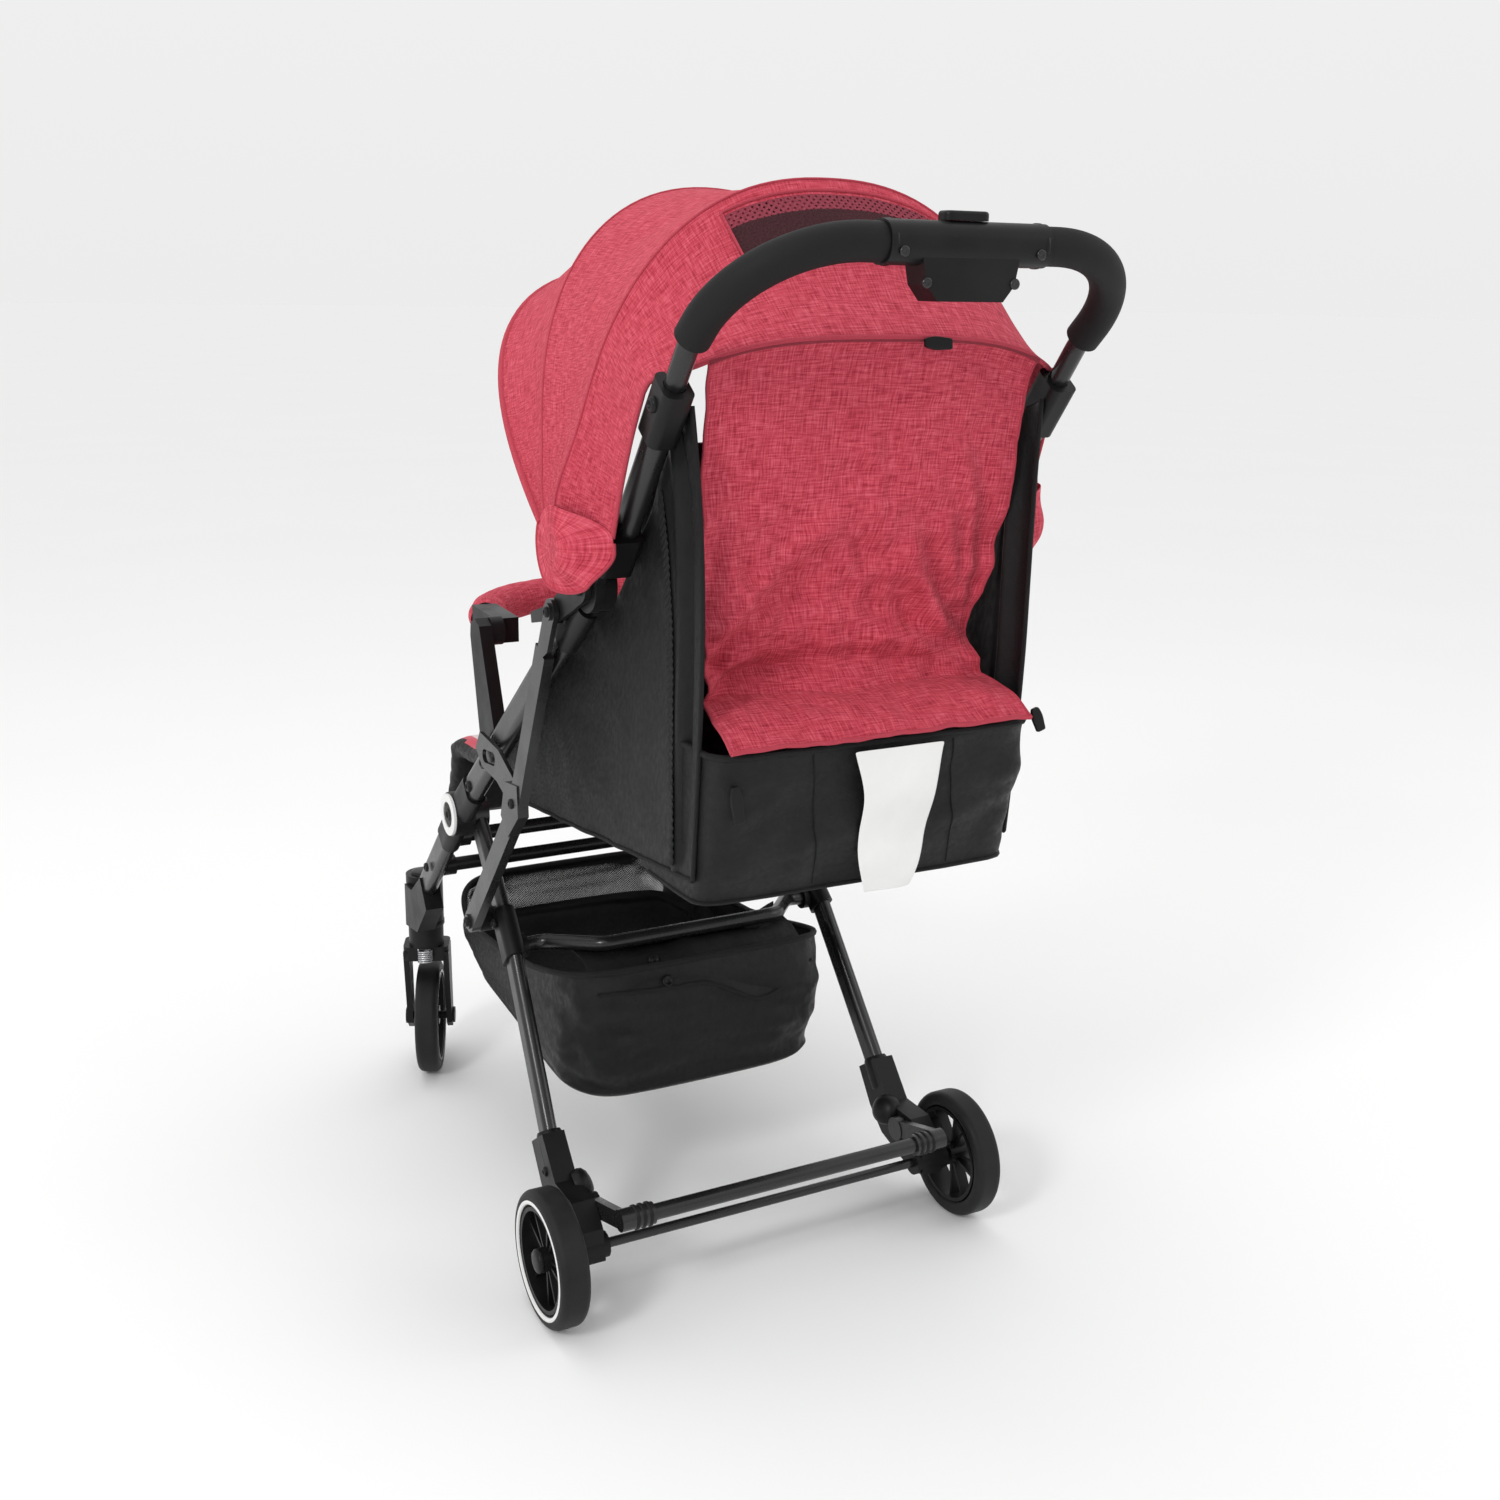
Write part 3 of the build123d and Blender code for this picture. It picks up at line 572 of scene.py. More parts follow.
for side, lab in ((1, "left"), (-1, "right")):
    def ear_at(u, v, side=side):
        a = 360 * u
        r = (EAR + 3) * v
        s = min(1, max(0, (v - 0.36) / 0.64))
        s = s * s * (2.2 - 1.2 * s)
        x = EAR_FACE + (ear_edge(a) + 0.7 - EAR_FACE) * s
        t = math.radians(a)
        return P(side * x, PIVOT[0] + r * math.cos(t), PIVOT[1] + r * math.sin(t))

    grid("canopy_ear_" + lab, ear_at, 60, 12, [M["red"]], "handle_frame", 0.0011, closed=True)
    free_rim = [ear_at((140 + 232 * k / 72) / 360 % 1.0, 1.0) for k in range(73)]
    tube("canopy_ear_hem_" + lab, free_rim, 0.0016, M["red"], "handle_frame", sides=8)

# ---------------------------------------------------------------- rear flap
FLAP = [(150, 931), (146, 860), (139, 790), (126, 735), (116, 690), (113, 662), (128, 642), (152, 633),
        (176, 625), (197, 616)]


def along(path, t):
    acc = [0.0]
    for a, b in zip(path, path[1:]):
        acc.append(acc[-1] + math.dist(a, b))
    d = t * acc[-1]
    for k in range(len(path) - 1):
        if d <= acc[k + 1] or k == len(path) - 2:
            f = (d - acc[k]) / (acc[k + 1] - acc[k])
            return tuple(p + (q - p) * f for p, q in zip(path[k], path[k + 1]))


def seam_at(x):
    """(y, z) of the canopy's rear hem at a distance from the middle."""
    q = arch_point(SEAM, math.acos(min(1, abs(x) / (SEAM[0] + GROW)) ** (SEAM[3] / 2)), GROW)
    return (q.y - SHIFT) * 1000, q.z * 1000


rnd = random.Random(11)
creases = []
for sign in (1, -1):
    for k in range(7):
        a = math.radians(12 + 13 * k + rnd.uniform(-4, 4))
        creases.append((sign * 150, 652 + rnd.uniform(-10, 12), -sign * math.cos(a), math.sin(a),
                        rnd.uniform(90, 230), rnd.uniform(5.0, 10.0), rnd.uniform(8, 14)))
for k in range(6):
    a = math.radians(rnd.uniform(50, 130))
    creases.append((rnd.uniform(-90, 90), rnd.uniform(690, 800), math.cos(a), math.sin(a),
                    rnd.uniform(60, 150), rnd.uniform(2.0, 4.5), rnd.uniform(6, 12)))


def crease_depth(x, z):
    """Folds that run from the flap's pulled-in waist up into the cloth."""
    total = 0.0
    for x0, z0, dx, dz, length, depth, width in creases:
        s = (x - x0) * dx + (z - z0) * dz
        n = (x - x0) * -dz + (z - z0) * dx + 9 * math.sin(s / 38 + x0)
        if -10 < s < length:
            fade = math.sin(math.pi * min(1, max(0, (s + 10) / (length + 10)))) ** 0.7
            w = width * (0.6 + 0.8 * max(0, s) / length)
            total += depth * fade * (hump(n, w) - 0.55 * hump(n - 1.7 * w, w))
    return total


def flap_at(u, v):
    y, z = along(FLAP, v)
    half = 151 + 8 * (1 - v) ** 3 - 15 * hump(v - 0.70, 0.14)
    x = half * (1 - 2 * u)
    top = max(0.0, 1 - v / 0.5) ** 2
    ys, zs = seam_at(x)
    y, z = y + (ys - 1 - y) * top, z + (zs - 2 - z) * top
    low = hump(v - 0.66, 0.24)
    fold = math.sin((x * 0.6 + z * 1.3) * 0.045) * 2.4 + math.sin((x * 1.1 - z * 0.9) * 0.032 + 1.1) * 3.0
    q = Vector((x * 0.012, z * 0.018, 2.3))
    calm = min(1, v * 9)
    y += (fold * low + noise.noise(q) * 12 * (0.4 + low) + noise.noise(q * 3.1) * 6.0 * (0.4 + low)) * calm
    y += crease_depth(x, z) * calm * (1 if v < 0.74 else max(0, 1 - (v - 0.74) / 0.08))
    if v > 0.80:
        lip = math.sin(math.pi * min(1, (v - 0.80) / 0.20))
        z += noise.noise(Vector((x * 0.02, v * 9, 5.0))) * 5 * (v - 0.75) / 0.25 + 5.5 * lip
        z += noise.noise(Vector((x * 0.045, v * 14, 1.0))) * 2.2
    edge = min(u, 1 - u)
    y += 2.0 * math.exp(-edge * 40)
    return P(x, y, z)


def with_handle(ob):
    """Cloth that hangs between the handle and the seat: bakes its placement into its mesh."""
    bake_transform(ob)


with_handle(grid("rear_flap_fabric", flap_at, 110, 120, [M["red"]], None, 0.0013,
                 replaces=("rear_flap",)))
# piping under the canopy's rear hem, in the darker red of painted shade
piping = [flap_at(k / 60, 0.004) + Vector((0, 0.0012, 0.0004)) for k in range(61)]
tube("rear_flap_top_piping", piping, 0.0019, M["red_painted_shade"], "handle_frame", sides=8)
tube("rear_flap_hem", [flap_at(k / 40, 1.0) for k in range(41)], 0.0021, M["red"], "front_frame")
for lab, u in (("left", 0.0), ("right", 1.0)):
    with_handle(tube("rear_flap_side_hem_" + lab, [flap_at(u, k / 60) for k in range(61)], 0.0014, M["red"],
                     None, sides=8))

# ---------------------------------------------------------------- seat well
WELL_TOP, WELL_DEPTH = 609, 136
BOX_U = [(161, 40), (161, 90), (161, 140), (160, 172), (154, 184), (140, 189), (90, 191), (45, 190), (0, 191),
         (-45, 190), (-90, 191), (-140, 189), (-154, 184), (-160, 172), (-161, 140), (-161, 90), (-161, 40)]


def box_at(u, v):
    x, y = along(BOX_U, u)
    z = WELL_TOP - WELL_DEPTH * v
    y -= (29 * v) * max(0, min(1, (y - 40) / 150)) - 5 * math.sin(math.pi * v) * max(0, (y - 120) / 70)
    q = Vector((x * 0.014, y * 0.014, z * 0.022))
    puff = noise.noise(q) * 7 + noise.noise(q * 2.7) * 4.5 + math.sin(x * 0.05 + z * 0.06) * 1.5
    wall = math.sin(math.pi * min(1, max(0, v))) ** 0.5
    if y > 120:
        y += puff * wall
    else:
        x -= math.copysign(abs(puff) * 0.25 * wall, x)
    return P(x, y, z)


grid("seat_well_fabric", box_at, 84, 26, [M["nylon"]], "front_frame", 0.0012,
     replaces=("seat_box",))


def floor_at(u, v):
    a = box_at(0.03 + 0.94 * u, 1.0)
    front = P(160 * (1 - 2 * u), 44, 469)
    p = a.lerp(front, v)
    return p + Vector((0, 0, -0.004 * math.sin(math.pi * v) * math.sin(math.pi * u)))


grid("seat_well_floor", floor_at, 60, 12, [M["nylon"]], "front_frame", 0.0012)
tube("seat_well_rim", [box_at(0.08 + 0.84 * k / 60, 0.0) for k in range(61)], 0.0030, M["web"], "front_frame")
tube("seat_well_piping", [box_at(0.04 + 0.92 * k / 80, 1.0) for k in range(81)], 0.0022, M["nylon"],
     "front_frame")
for k, x in enumerate((60, -62)):
    dart = [box_at(0.5 - x / 520 + 0.03 * t, 0.04 + 0.92 * t) + Vector((0, 0.0006, 0))
            for t in [i / 16 for i in range(17)]]
    tube(f"seat_well_dart_{k}", dart, 0.0009, M["nylon"], "front_frame", sides=6)

# ---------------------------------------------------------------- side panels
LOWER = [(-312, 446), (152, 494)]
UPPER = [(-312, 490), (-226, 545), (-140, 600), (-58, 662), (24, 722), (84, 802), (138, 884), (160, 892)]


def side_at(sign):
    def at(u, v):
        w = u ** 0.85
        a, b = along(LOWER, w), along(UPPER, w)
        y = a[0] + (b[0] - a[0]) * v
        z = a[1] + (b[1] - a[1]) * v
        y += 10 * w ** 6 * math.sin(math.pi * v)
        q = Vector((y * 0.012, z * 0.010, sign * 3.0))
        pleat = 1.6 * math.sin(w * 60) * max(0, (w - 0.70) / 0.30) * (0.4 + 0.6 * v)
        pleat -= 13 * hump(w - 0.952, 0.017) * min(1, 4 * v, 5 * (1 - v) + 0.3)
        pleat += 4 * hump(w - 0.925, 0.012)
        puff = (noise.noise(q) * 5 + noise.noise(q * 2.6) * 3.2) * math.sin(math.pi * min(0.98, w + 0.02))
        x = 162.8 + pleat * 0.8 + puff * 0.8 + 3.0 * math.sin(math.pi * v) * math.sin(math.pi * w)
        x = min(x, 168.5)
        x += (18 if y < -10 else 8 + 10 * hump(y + 10, 18)) * max(0, v - 0.55) ** 2 / 0.2025
        return P(sign * x, y, z)
    return at


for lab, sign in (("left", 1), ("right", -1)):
    panel = side_at(sign)
    with_handle(grid("side_panel_fabric_" + lab, panel, 140, 44, [M["nylon"]], None, 0.0012,
                     replaces=("side_panel_" + lab,)))
    with_handle(tube("side_panel_rear_hem_" + lab, [panel(1.0, k / 40) for k in range(41)], 0.0022, M["web"],
                     None))
    tube("side_panel_bottom_hem_" + lab, [panel(k / 40, 0.0) for k in range(41)], 0.0024, M["web"],
         "front_frame")

    def strap_at(u, v, panel=panel, sign=sign):
        """Webbing strap with a fine rib, that runs down the panel near its rear edge."""
        p = panel(0.845 + 0.065 * (1 - v) + (u - 0.5) * 0.026, 0.02 + 0.93 * v)
        return p + Vector((sign * (0.0022 + 0.0009 * math.sin(v * 300)), 0, 0))

    with_handle(grid("side_strap_" + lab, strap_at, 6, 180, [M["web"]], None, 0.0012))

# ---------------------------------------------------------------- basket
RIM = [(-546, 270), (-476, 240), (-380, 244), (-300, 252), (-200, 276), (-131, 293)]
KEEL = [(-546, 186), (-478, 166), (-300, 142), (-200, 130), (-131, 126)]
BASKET_Y = -338
BASKET_HALF_X, BASKET_HALF_Y = 156, 206
WALL = 0.66


def height(path, y):
    """Height of a (y, z) path at y, level beyond its ends."""
    for a, b in zip(path, path[1:]):
        if y <= b[0]:
            return a[1] + (b[1] - a[1]) * (max(y, a[0]) - a[0]) / (b[0] - a[0])
    return path[-1][1]


def basket_at(u, v):
    """Walls down to WALL of the way, then the floor towards its middle."""
    t = 2 * math.pi * u
    bx, by = sgnpow(math.cos(t), 0.32), sgnpow(math.sin(t), 0.32)
    y0 = BASKET_Y + BASKET_HALF_Y * by
    top, low = height(RIM, y0), height(KEEL, y0)
    if v < WALL:
        s = v / WALL
        scale = 1 + 0.012 * math.sin(math.pi * s) - 0.05 * s ** 3
        z = top + (low + 26 - top) * s
    else:
        s = (v - WALL) / 0.34 * math.pi / 2
        scale = 0.962 * math.cos(s) ** 0.62 if s < math.pi / 2 - 1e-6 else 0.0
        z = low + 26 - 28 * math.sin(s)
    x, y = BASKET_HALF_X * bx * scale, BASKET_Y + BASKET_HALF_Y * by * scale
    z -= 5 * hump(x, 90) * max(0, v - 0.5)
    q = Vector((x * 0.013, y * 0.013, z * 0.02))
    puff = noise.noise(q) * 9 + noise.noise(q * 2.4 + Vector((3, 1, 2))) * 6 + noise.noise(q * 5) * 2
    puff += 1.8 * math.sin(u * 120) * math.exp(-v * 5)
    n = Vector((bx, by, 0)).normalized() if scale else Vector((0, 0, 0))
    reach = math.sin(math.pi * min(1, v * 1.15)) ** 0.6 if v * 1.15 < 1 else 0.0
    return P(x + n.x * puff * reach, y + n.y * puff * reach, z + (0 if v < WALL else puff * 0.35))


def basket_pick(u, v):
    front = 0.62 < u < 0.88
    return 1 if (front and 0.08 < v < 0.56) or (0.55 < u < 0.60 and 0.08 < v < 0.5) else 0


basket = grid("basket_fabric", basket_at, 120, 44, [M["nylon"], M["net_black"]], None,
              0.0012, basket_pick, closed=True, replaces=("basket",))
rim = tube("basket_rim", [basket_at(k / 120, 0.0) for k in range(120)], 0.0034, M["web"], None,
           closed=True)
for ob in (basket, rim):
    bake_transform(ob)


WRAP = 10.0


def apron_at(u, v):
    """Flap of the basket's rear wall, folded over the cross tube."""
    x = 128 * (1 - 2 * u)
    bow = 1 - (abs(x) / 150) ** 2.2
    ty, tz = -238 + 62 * min(1, bow * 1.25), 300 + 8 * bow
    if v < 0.4:
        a = math.pi * (-1.05 + v / 0.4 * 0.75)
        y, z = ty + WRAP * math.cos(a), tz + WRAP * math.sin(a)
    else:
        s = (v - 0.4) / 0.6
        y0, z0 = ty + WRAP * math.cos(math.pi * 0.3), tz - WRAP * math.sin(math.pi * 0.3)
        y1, z1 = -126 - 10 * (abs(x) / 128) ** 2, 268 - 34 * hump(x + 62, 46)
        y, z = y0 + (y1 - y0) * s ** 0.6, z0 + (z1 - z0) * s ** 1.2
    q = Vector((x * 0.02, y * 0.02, z * 0.03))
    return P(x, y + noise.noise(q) * 3, z + noise.noise(q * 2) * 2.5)


grid("basket_apron", apron_at, 48, 26, [M["nylon"]], "rear_frame", 0.0012)
tube("basket_apron_hem", [apron_at(k / 48, 1.0) for k in range(49)], 0.0020, M["web"], "rear_frame")

# ---------------------------------------------------------------- bumper bar
BAR_HEIGHT = 634
BAR_HALF, BAR_REACH = 176, 183
BUMP = [(BAR_HALF * math.cos(math.radians(a)), -275 - BAR_REACH * math.sin(math.radians(a)) ** 0.86)
        for a in range(18, 163, 4)]


def bumper_at(u, v):
    x, y = along(BUMP, v)
    x2, y2 = along(BUMP, min(1, v + 0.01))
    x1, y1 = along(BUMP, max(0, v - 0.01))
    t = Vector((x2 - x1, y2 - y1, 0)).normalized()
    n = Vector((t.y, -t.x, 0))
    a = 2 * math.pi * u
    r = 19.6 + 0.9 * math.sin(v * 90) * max(0, math.cos(a)) * -0.6
    r += noise.noise(Vector((v * 30, math.cos(a) * 1.5, math.sin(a) * 1.5))) * 1.1
    r -= 1.6 * hump(u - 0.75, 0.012)
    r -= 2.6 * (hump(v, 0.012) + hump(1 - v, 0.012))
    return P(x + n.x * r * math.cos(a), y + n.y * r * math.cos(a), BAR_HEIGHT + r * math.sin(a))


bump_ob = grid("bumper_cover", bumper_at, 32, 90, [M["red"]], "bumper", 0, closed=True,
               replaces=("bumper_bar",))

# ---------------------------------------------------------------- seat pads


def padded_copy(name, source, mats, body, cap, shrink, fill, grooves, pick):
    """Pad made from a CAD solid: remeshed, blown up by cloth pressure within a cap, then seamed."""
    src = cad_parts[source]
    mesh = src.data.copy()
    mesh.name = name
    mesh.materials.clear()
    ob = new_object(name, mesh, mats, body, (source,))
    bpy.context.view_layer.objects.active = ob
    dg = bpy.context.evaluated_depsgraph_get

    def bake():
        new = bpy.data.meshes.new_from_object(ob.evaluated_get(dg()))
        ob.modifiers.clear()
        ob.data = new

    lo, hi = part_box(source)
    mid = (Vector(lo) + Vector(hi)) / 2
    w = ob.modifiers.new("weld", "WELD")
    w.merge_threshold = 0.0001
    d = ob.modifiers.new("shrink", "DISPLACE")
    d.strength = -shrink
    d.mid_level = 0
    bake()
    r = ob.modifiers.new("remesh", "REMESH")
    r.mode = "VOXEL"
    r.voxel_size = 0.006
    bake()
    start = [v.co.copy() for v in ob.data.vertices]
    c = ob.modifiers.new("cloth", "CLOTH")
    c.settings.use_pressure = True
    c.settings.uniform_pressure_force = 4
    c.settings.effector_weights.gravity = 0
    c.settings.quality = 4
    sc = bpy.context.scene
    for f in range(1, 21):
        sc.frame_set(f)
    new = bpy.data.meshes.new_from_object(ob.evaluated_get(dg()))
    ob.modifiers.clear()
    for v, p in zip(new.vertices, start):
        move = v.co - p
        if move.length > cap:
            v.co = p + move.normalized() * cap
    ob.data = new
    sc.frame_set(1)
    for v in ob.data.vertices:
        q = v.co
        v.co = q + (q - mid).normalized() * wrinkle(q, 16, 0.0022, fill * 5)
        v.co = v.co + Vector(grooves(v.co, lo, hi))
    for p in ob.data.polygons:
        p.material_index = pick(p.center, p.normal)
        p.use_smooth = True
    s = ob.modifiers.new("smooth", "SUBSURF")
    s.levels = s.render_levels = 1


def channel(d, width, depth):
    """Depth of a sewn channel at a distance from its line."""
    return depth * hump(d, width)


def seat_grooves(p, lo, hi):
    cut = sum(channel(p.y - (lo[1] + k * (hi[1] - lo[1]) / 5), 0.005, 0.006) for k in range(1, 5))
    cut += channel(abs(p.x) - 0.105, 0.005, 0.006)
    top = p.z > (lo[2] + (p.y - lo[1]) / (hi[1] - lo[1]) * 0.044 + 0.014)
    return (0, 0, -cut if top else 0)


def back_grooves(p, lo, hi):
    cut = sum(channel(p.z - (lo[2] + k * (hi[2] - lo[2]) / 6), 0.005, 0.006) for k in range(1, 6))
    cut += channel(abs(p.x) - 0.098, 0.005, 0.006)
    lean = math.radians(78)
    front = (p.y - P(0, -70, 0).y) - (p.z - 0.505) / math.tan(lean) < 0
    return (0, cut * 0.98 if front else -cut * 0.3, 0)


padded_copy("seat_pad", "seat_base", [M["nylon3d"], M["stripes"]], "front_frame",
            0.007, 0.004, 0.6, seat_grooves, lambda c, n: 1 if n.z > 0.6 and abs(c.x) < 0.143 else 0)
padded_copy("backrest_pad", "backrest", [M["nylon3d"], M["red3d"]], "backrest",
            0.007, 0.004, 0.6, back_grooves, lambda c, n: 1 if n.y < -0.5 and abs(c.x) < 0.136 else 0)


def leg_grooves(p, lo, hi):
    cut = channel(abs(p.x) - 0.09, 0.005, 0.005) + channel(p.y - P(0, -430, 0).y, 0.005, 0.005)
    return (0, 0, -cut if p.z > 0.44 else 0)


def leg_liner(c, n):
    return 1 if n.z > 0.6 and c.y > P(0, -545, 0).y and abs(c.x) < 0.135 else 0


padded_copy("leg_rest_pad", "leg_rest", [M["nylon3d"], M["stripes"]], "leg_rest",
            0.006, 0.003, 0.7, leg_grooves, leg_liner)

# ---------------------------------------------------------------- hardware
def turned(name, body, profile, centre, axis, steps, mat="plastic"):
    """Turned piece that stands by itself."""
    new_object(name, lathe_mesh(name, profile, centre, axis, steps), M[mat], body)


def loose(profile, centre, axis, steps):
    """Turned piece that join() takes up."""
    ob = bpy.data.objects.new("loose", lathe_mesh("loose", profile, centre, axis, steps))
    bpy.context.scene.collection.objects.link(ob)
    return ob


KNUCKLE_Y, KNUCKLE_Z = -364, 412
CASTER_X, CASTER_Y = 176, -574
bolts = {"handle_frame": [], "front_frame": [], "push_rods": [], "rear_frame": []}


def add_bolt(body, x, y, z, side, r=0.0052, h=0.0026):
    """Domed screw head with a socket, on the outer face at x."""
    profile = [(r, -0.001), (r, h * 0.45), (r * 0.82, h * 0.85), (r * 0.52, h), (r * 0.5, h * 0.98),
               (r * 0.44, h * 0.4), (0, h * 0.4)]
    bolts[body].append(loose(profile, P(x * side, y, z), (side, 0, 0), 20))


for side in (1, -1):
    add_bolt("handle_frame", 199.5, 150, 893, side, 0.0068, 0.0035)
    add_bolt("handle_frame", 207, 57, 769, side, 0.005)
    add_bolt("handle_frame", 213.2, 28, 731, side, 0.0085, 0.004)
    add_bolt("push_rods", 221, -29, 699, side, 0.005)
    add_bolt("push_rods", 221, -278, 317, side, 0.0055)
    add_bolt("push_rods", 220, -134, 490, side)
    add_bolt("front_frame", 205, -258, 498, side, 0.0062, 0.003)
    add_bolt("front_frame", 205, -305, 460, side, 0.0062, 0.003)
    add_bolt("front_frame", 207.5, -20, 692, side, 0.0048)
    add_bolt("front_frame", 204.5, -470, 316, side, 0.0055)
    add_bolt("front_frame", 208, KNUCKLE_Y, KNUCKLE_Z, side, 0.0085, 0.0035)
    add_bolt("rear_frame", 199.5, -252, 320, side, 0.005)
    add_bolt("rear_frame", 210, -84, 112, side)
for body, obs in bolts.items():
    join("bolts_" + body, obs, M["plastic"], body)

for side, lab in ((1, "left"), (-1, "right")):
    # rear wheel: pale line and hub cap; its bracket: dome, and a boot on the leg
    hub, face = P(237 * side, 0, 68), 0.0149
    trim = [(0.0545, face - 0.002), (0.0548, face + 0.0002), (0.0566, face + 0.0006), (0.0585, face + 0.0002),
            (0.0590, face - 0.002)]
    turned("rear_wheel_trim_" + lab, "rear_wheel_" + lab, trim, hub, (side, 0, 0), 72, "white")
    turned("rear_hub_cap_" + lab, "rear_wheel_" + lab,
           [(0.012, 0.0125), (0.012, 0.0155), (0.0105, 0.0172), (0.006, 0.0178), (0, 0.018)],
           hub, (side, 0, 0), 36)
    turned("bracket_dome_" + lab, "rear_frame",
           [(0.0165, 0), (0.0165, 0.006), (0.015, 0.0105), (0.010, 0.0140), (0.004, 0.0152), (0, 0.0154)],
           P(186 * side, -58, 103), (-side, 0.25, 0.45), 40)
    turned("leg_boot_" + lab, "rear_frame",
           [(0.0118, -0.02), (0.0132, -0.018), (0.0132, 0.012), (0.012, 0.015)],
           P(197 * side, -98, 132), (0.0, -0.60, 0.80), 28)

    # caster, turned a little as in the photo: lines on both faces, spring, collar and cap of the swivel
    yaw = math.radians(23)
    across_wheel = Vector((math.cos(yaw), -math.sin(yaw), 0))
    along_wheel = Vector((math.sin(yaw), math.cos(yaw), 0))
    pivot = P(CASTER_X * side, CASTER_Y, 0)
    hub = pivot - along_wheel * 0.020 + Vector((0, 0, 0.0715))
    trim = [(0.0545, 0.0138), (0.0550, 0.0141), (0.0575, 0.0141), (0.0580, 0.0138)]
    join("front_wheel_trim_" + lab, [loose(trim, hub, across_wheel * way, 64) for way in (1, -1)], M["paint"],
         "front_wheel_" + lab)
    base = pivot + along_wheel * 0.0215 + Vector((0, 0, 0.1615))
    coil = []
    for k in range(97):
        a = 2 * math.pi * k / 16
        coil.append(base + across_wheel * 0.0085 * math.cos(a) + along_wheel * 0.0042 * math.sin(a) +
                    Vector((0, 0, 0.016 * k / 96)))
    tube("caster_spring_" + lab, coil, 0.0011, M["steel"], "caster_" + lab, sides=8)
    turned("caster_collar_" + lab, "front_frame",
           [(0.0225, 0.2045), (0.0232, 0.2052), (0.0232, 0.2105), (0.0225, 0.2112)], pivot, (0, 0, 1), 48)
    turned("caster_cap_" + lab, "front_frame",
           [(0.0165, 0.2722), (0.0160, 0.2742), (0.012, 0.2752), (0, 0.2756)], pivot, (0, 0, 1), 40)

    # band at the end of the handle's cover, ribs of the brake bar's sleeve, cap inside the knuckle's ring
    turned("handle_band_" + lab, "handle_frame",
           [(0.0160, 0), (0.0172, 0.001), (0.0172, 0.004), (0.0160, 0.005)],
           P(66 * side, 273, 1016.5), (side, 0, 0), 40)
    rib = [(0.0108, 0), (0.0121, 0.001), (0.0121, 0.0035), (0.0108, 0.0045)]
    join("brake_bar_ribs_" + lab,
         [loose(rib, P((153 + 7 * k) * side, 45, 118), (side, 0, 0), 32) for k in range(3)],
         M["plastic"], "brake")
    turned("knuckle_cap_" + lab, "front_frame",
           [(0.0142, 0.2082), (0.0142, 0.2098), (0.0125, 0.2106), (0.006, 0.2100), (0, 0.2100)],
           P(0, KNUCKLE_Y, KNUCKLE_Z), (side, 0, 0), 40)

# the handle's cover bulges less at its two lower screws
screw = [(0.0042, 0), (0.0042, 0.0012), (0.003, 0.0019), (0.0012, 0.0013), (0, 0.0013)]
screws = [loose(screw, P(x, y, z), (0, 1, 0), 20)
          for x, y, z in ((-62, 289.2, 1010), (-40, 286.9, 988), (40, 286.9, 988), (62, 289.2, 1010))]
join("handle_screws", screws, M["paint"], "handle_frame")


def ribbon_at(u, v):
    """Blank sewn-in label that hangs from the seat well's rim."""
    half = 46 * (1 - 0.42 * v ** 0.8 * (1 + 0.2 * math.sin(v * 7)))
    x = -13 - 1.5 * math.sin(v * 5) + half * (1 - 2 * u)
    z = 604 - 138 * v
    y = 194.5 - 27 * v ** 1.1 + 4.5 * math.sin(v * 5.2) ** 2 + 2.2 * math.sin(u * math.pi) * v
    return P(x - 8 * v, y + 3 + noise.noise(Vector((u * 2, v * 4, 1))) * 1.5, z)


grid("blank_label", ribbon_at, 16, 40, [M["label"]], "front_frame", 0.0006)


def puller(name, centre, direction, body, length=0.026):
    """Zip slider with its cord puller."""
    d = Vector(direction).normalized()
    wide = d.cross(Vector((0, 1, 0.2))).normalized()
    thick = d.cross(wide)
    mesh = bpy.data.meshes.new(name)
    bm = bmesh.new()
    bmesh.ops.create_cube(bm, size=1.0)
    bmesh.ops.subdivide_edges(bm, edges=bm.edges, cuts=3, use_grid_fill=True)
    for v in bm.verts:
        t = v.co.x + 0.5
        w = 0.0035 + 0.0022 * math.sin(math.pi * min(1, t * 1.1)) + (0.0012 if t > 0.75 else 0)
        v.co = centre + d * (t * length) + wide * (v.co.y * 2 * w) + thick * (v.co.z * 0.0042)
    bm.normal_update()
    bm.to_mesh(mesh)
    bm.free()
    ob = new_object(name, mesh, M["plastic"], body)
    s = ob.modifiers.new("smooth", "SUBSURF")
    s.levels = s.render_levels = 2


puller("zip_puller_canopy", P(-30, 183, 941), (-1, 0.05, -0.05), "handle_frame")
puller("zip_puller_left", P(143, 189, 585), (-0.1, 0.1, -1), "front_frame", 0.032)
puller("zip_puller_right", P(-158, 192, 622), (-0.3, 0.2, -1), "front_frame", 0.022)
snap = [(0.0062, 0), (0.0062, 0.0012), (0.0045, 0.0024), (0.0038, 0.0012), (0, 0.0012)]
snaps = [loose(snap, apron_at(0.5 - x / 256, 0.4 + 0.6 * s) + Vector((0, 0.0015, 0.001)), (0, 0.85, 0.5), 24)
         for x, s in ((60, 0.30), (-75, 0.62), (52, 0.86))]
join("basket_snaps", snaps, M["plastic"], "rear_frame")

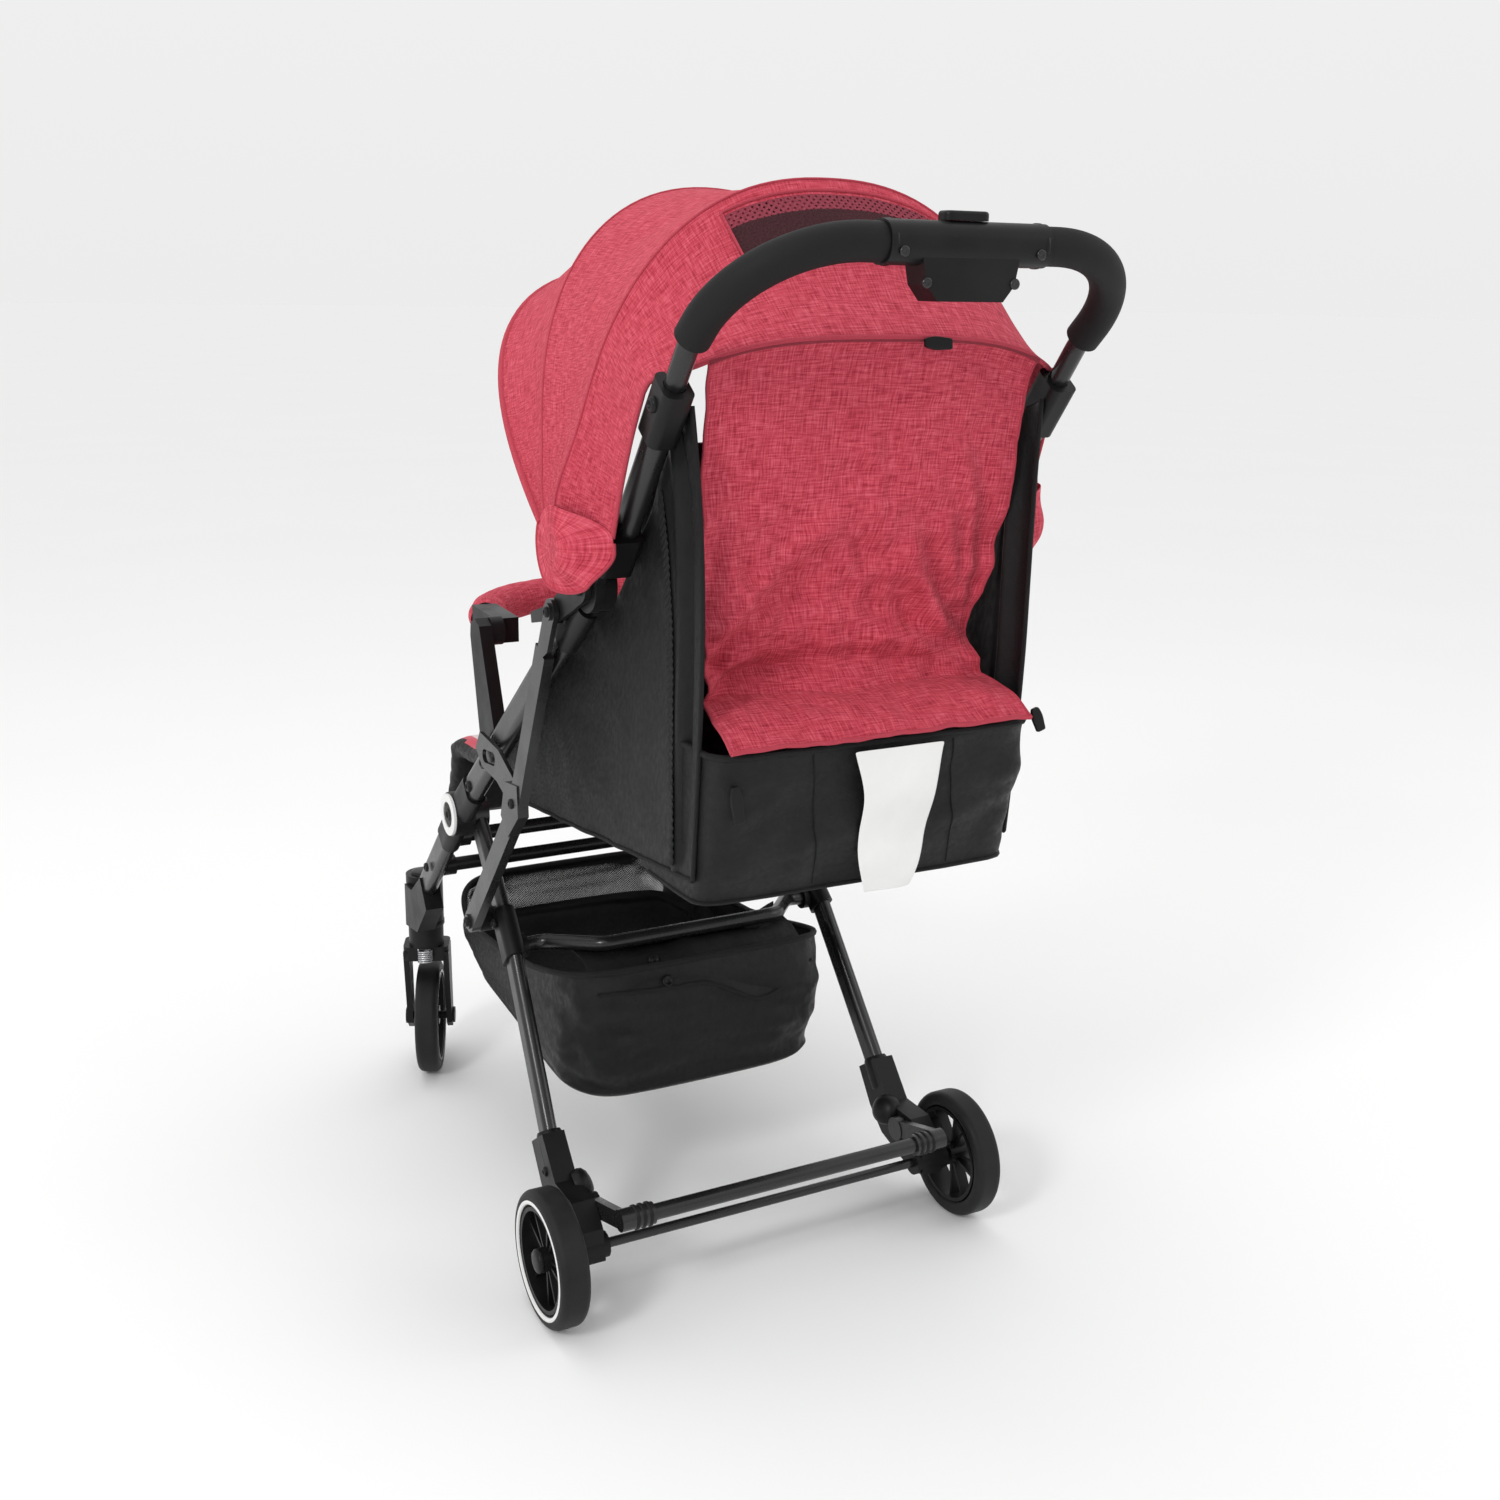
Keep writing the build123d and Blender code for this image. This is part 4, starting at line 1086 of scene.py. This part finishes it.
# ---------------------------------------------------------------- stage
FAR = 60
floor = bpy.data.meshes.new("floor")
floor.from_pydata([(-FAR, -FAR, 0), (FAR, -FAR, 0), (FAR, FAR, 0), (-FAR, FAR, 0)], [], [(0, 1, 2, 3)])
floor_ob = bpy.data.objects.new("floor", floor)
bpy.context.scene.collection.objects.link(floor_ob)
fm, ft, fb = material("floor_paint", (0.92, 0.92, 0.92), 1.0, specular=0.0)
patches = noise_tex(ft, coords(ft, False, (1.5, 1.5, 1.5)), 1.0)
ft.links.new(ramp(ft, patches, [(0.3, (0.915,) * 3), (0.7, (0.925,) * 3)]), fb.inputs["Base Color"])
floor.materials.append(fm)

world = bpy.data.worlds.new("studio")
bpy.context.scene.world = world
world.use_nodes = True
wt = world.node_tree
wt.nodes["Background"].inputs[1].default_value = 1.0
sky = node(wt, "ShaderNodeSeparateXYZ")
wt.links.new(node(wt, "ShaderNodeTexCoord").outputs["Generated"], sky.inputs[0])
toward_rear = math_node(wt, "MULTIPLY_ADD", sky.outputs["Y"], 0.5)
glow = ramp(wt, toward_rear, [(0.42, (0.84,) * 3), (0.85, (0.62,) * 3)])
upward = math_node(wt, "MAXIMUM", sky.outputs["Z"], 0.0)
wt.links.new(mix_color(wt, upward, glow, (1.0, 1.0, 1.0)), wt.nodes["Background"].inputs[0])


def lamp(name, at, aim, size, power):
    light = bpy.data.lights.new(name, "AREA")
    light.shape = "DISK"
    light.size = size
    light.energy = power
    ob = bpy.data.objects.new(name, light)
    bpy.context.scene.collection.objects.link(ob)
    ob.location = at
    ob.rotation_euler = (Vector(at) - Vector(aim)).to_track_quat("Z", "Y").to_euler()


lamp("key", (2.6, 1.6, 2.3), (0, 0.1, 0.6), 0.8, 34)
lamp("fill", (-2.6, 1.6, 1.9), (0, 0, 0.5), 1.4, 9)
lamp("top", (0.2, -0.6, 3.4), (0, 0, 0.6), 2.0, 10)
scene = bpy.context.scene
scene.view_settings.view_transform = "Standard"
scene.view_settings.look = "None"

# camera behind the stroller, to its left, at the photo's viewing angle
az, el, roll = (math.radians(a) for a in (151.703, 15.323, 0.963))
back = Vector((math.sin(az) * math.cos(el), -math.cos(az) * math.cos(el), math.sin(el)))
right = Vector((math.cos(az), math.sin(az), 0))
up = back.cross(right)
cam_x = right * math.cos(roll) + up * math.sin(roll)
cam_y = up * math.cos(roll) - right * math.sin(roll)
cam = bpy.data.cameras.new("camera")
cam.lens = 40.894
cam.sensor_width = 36
cam_ob = bpy.data.objects.new("camera", cam)
scene.collection.objects.link(cam_ob)
turn = Matrix((cam_x, cam_y, back)).transposed()
cam_ob.matrix_world = Matrix.Translation((0.7705, 1.3800 + SHIFT, 0.9856)) @ turn.to_4x4()
scene.camera = cam_ob

bpy.context.view_layer.update()
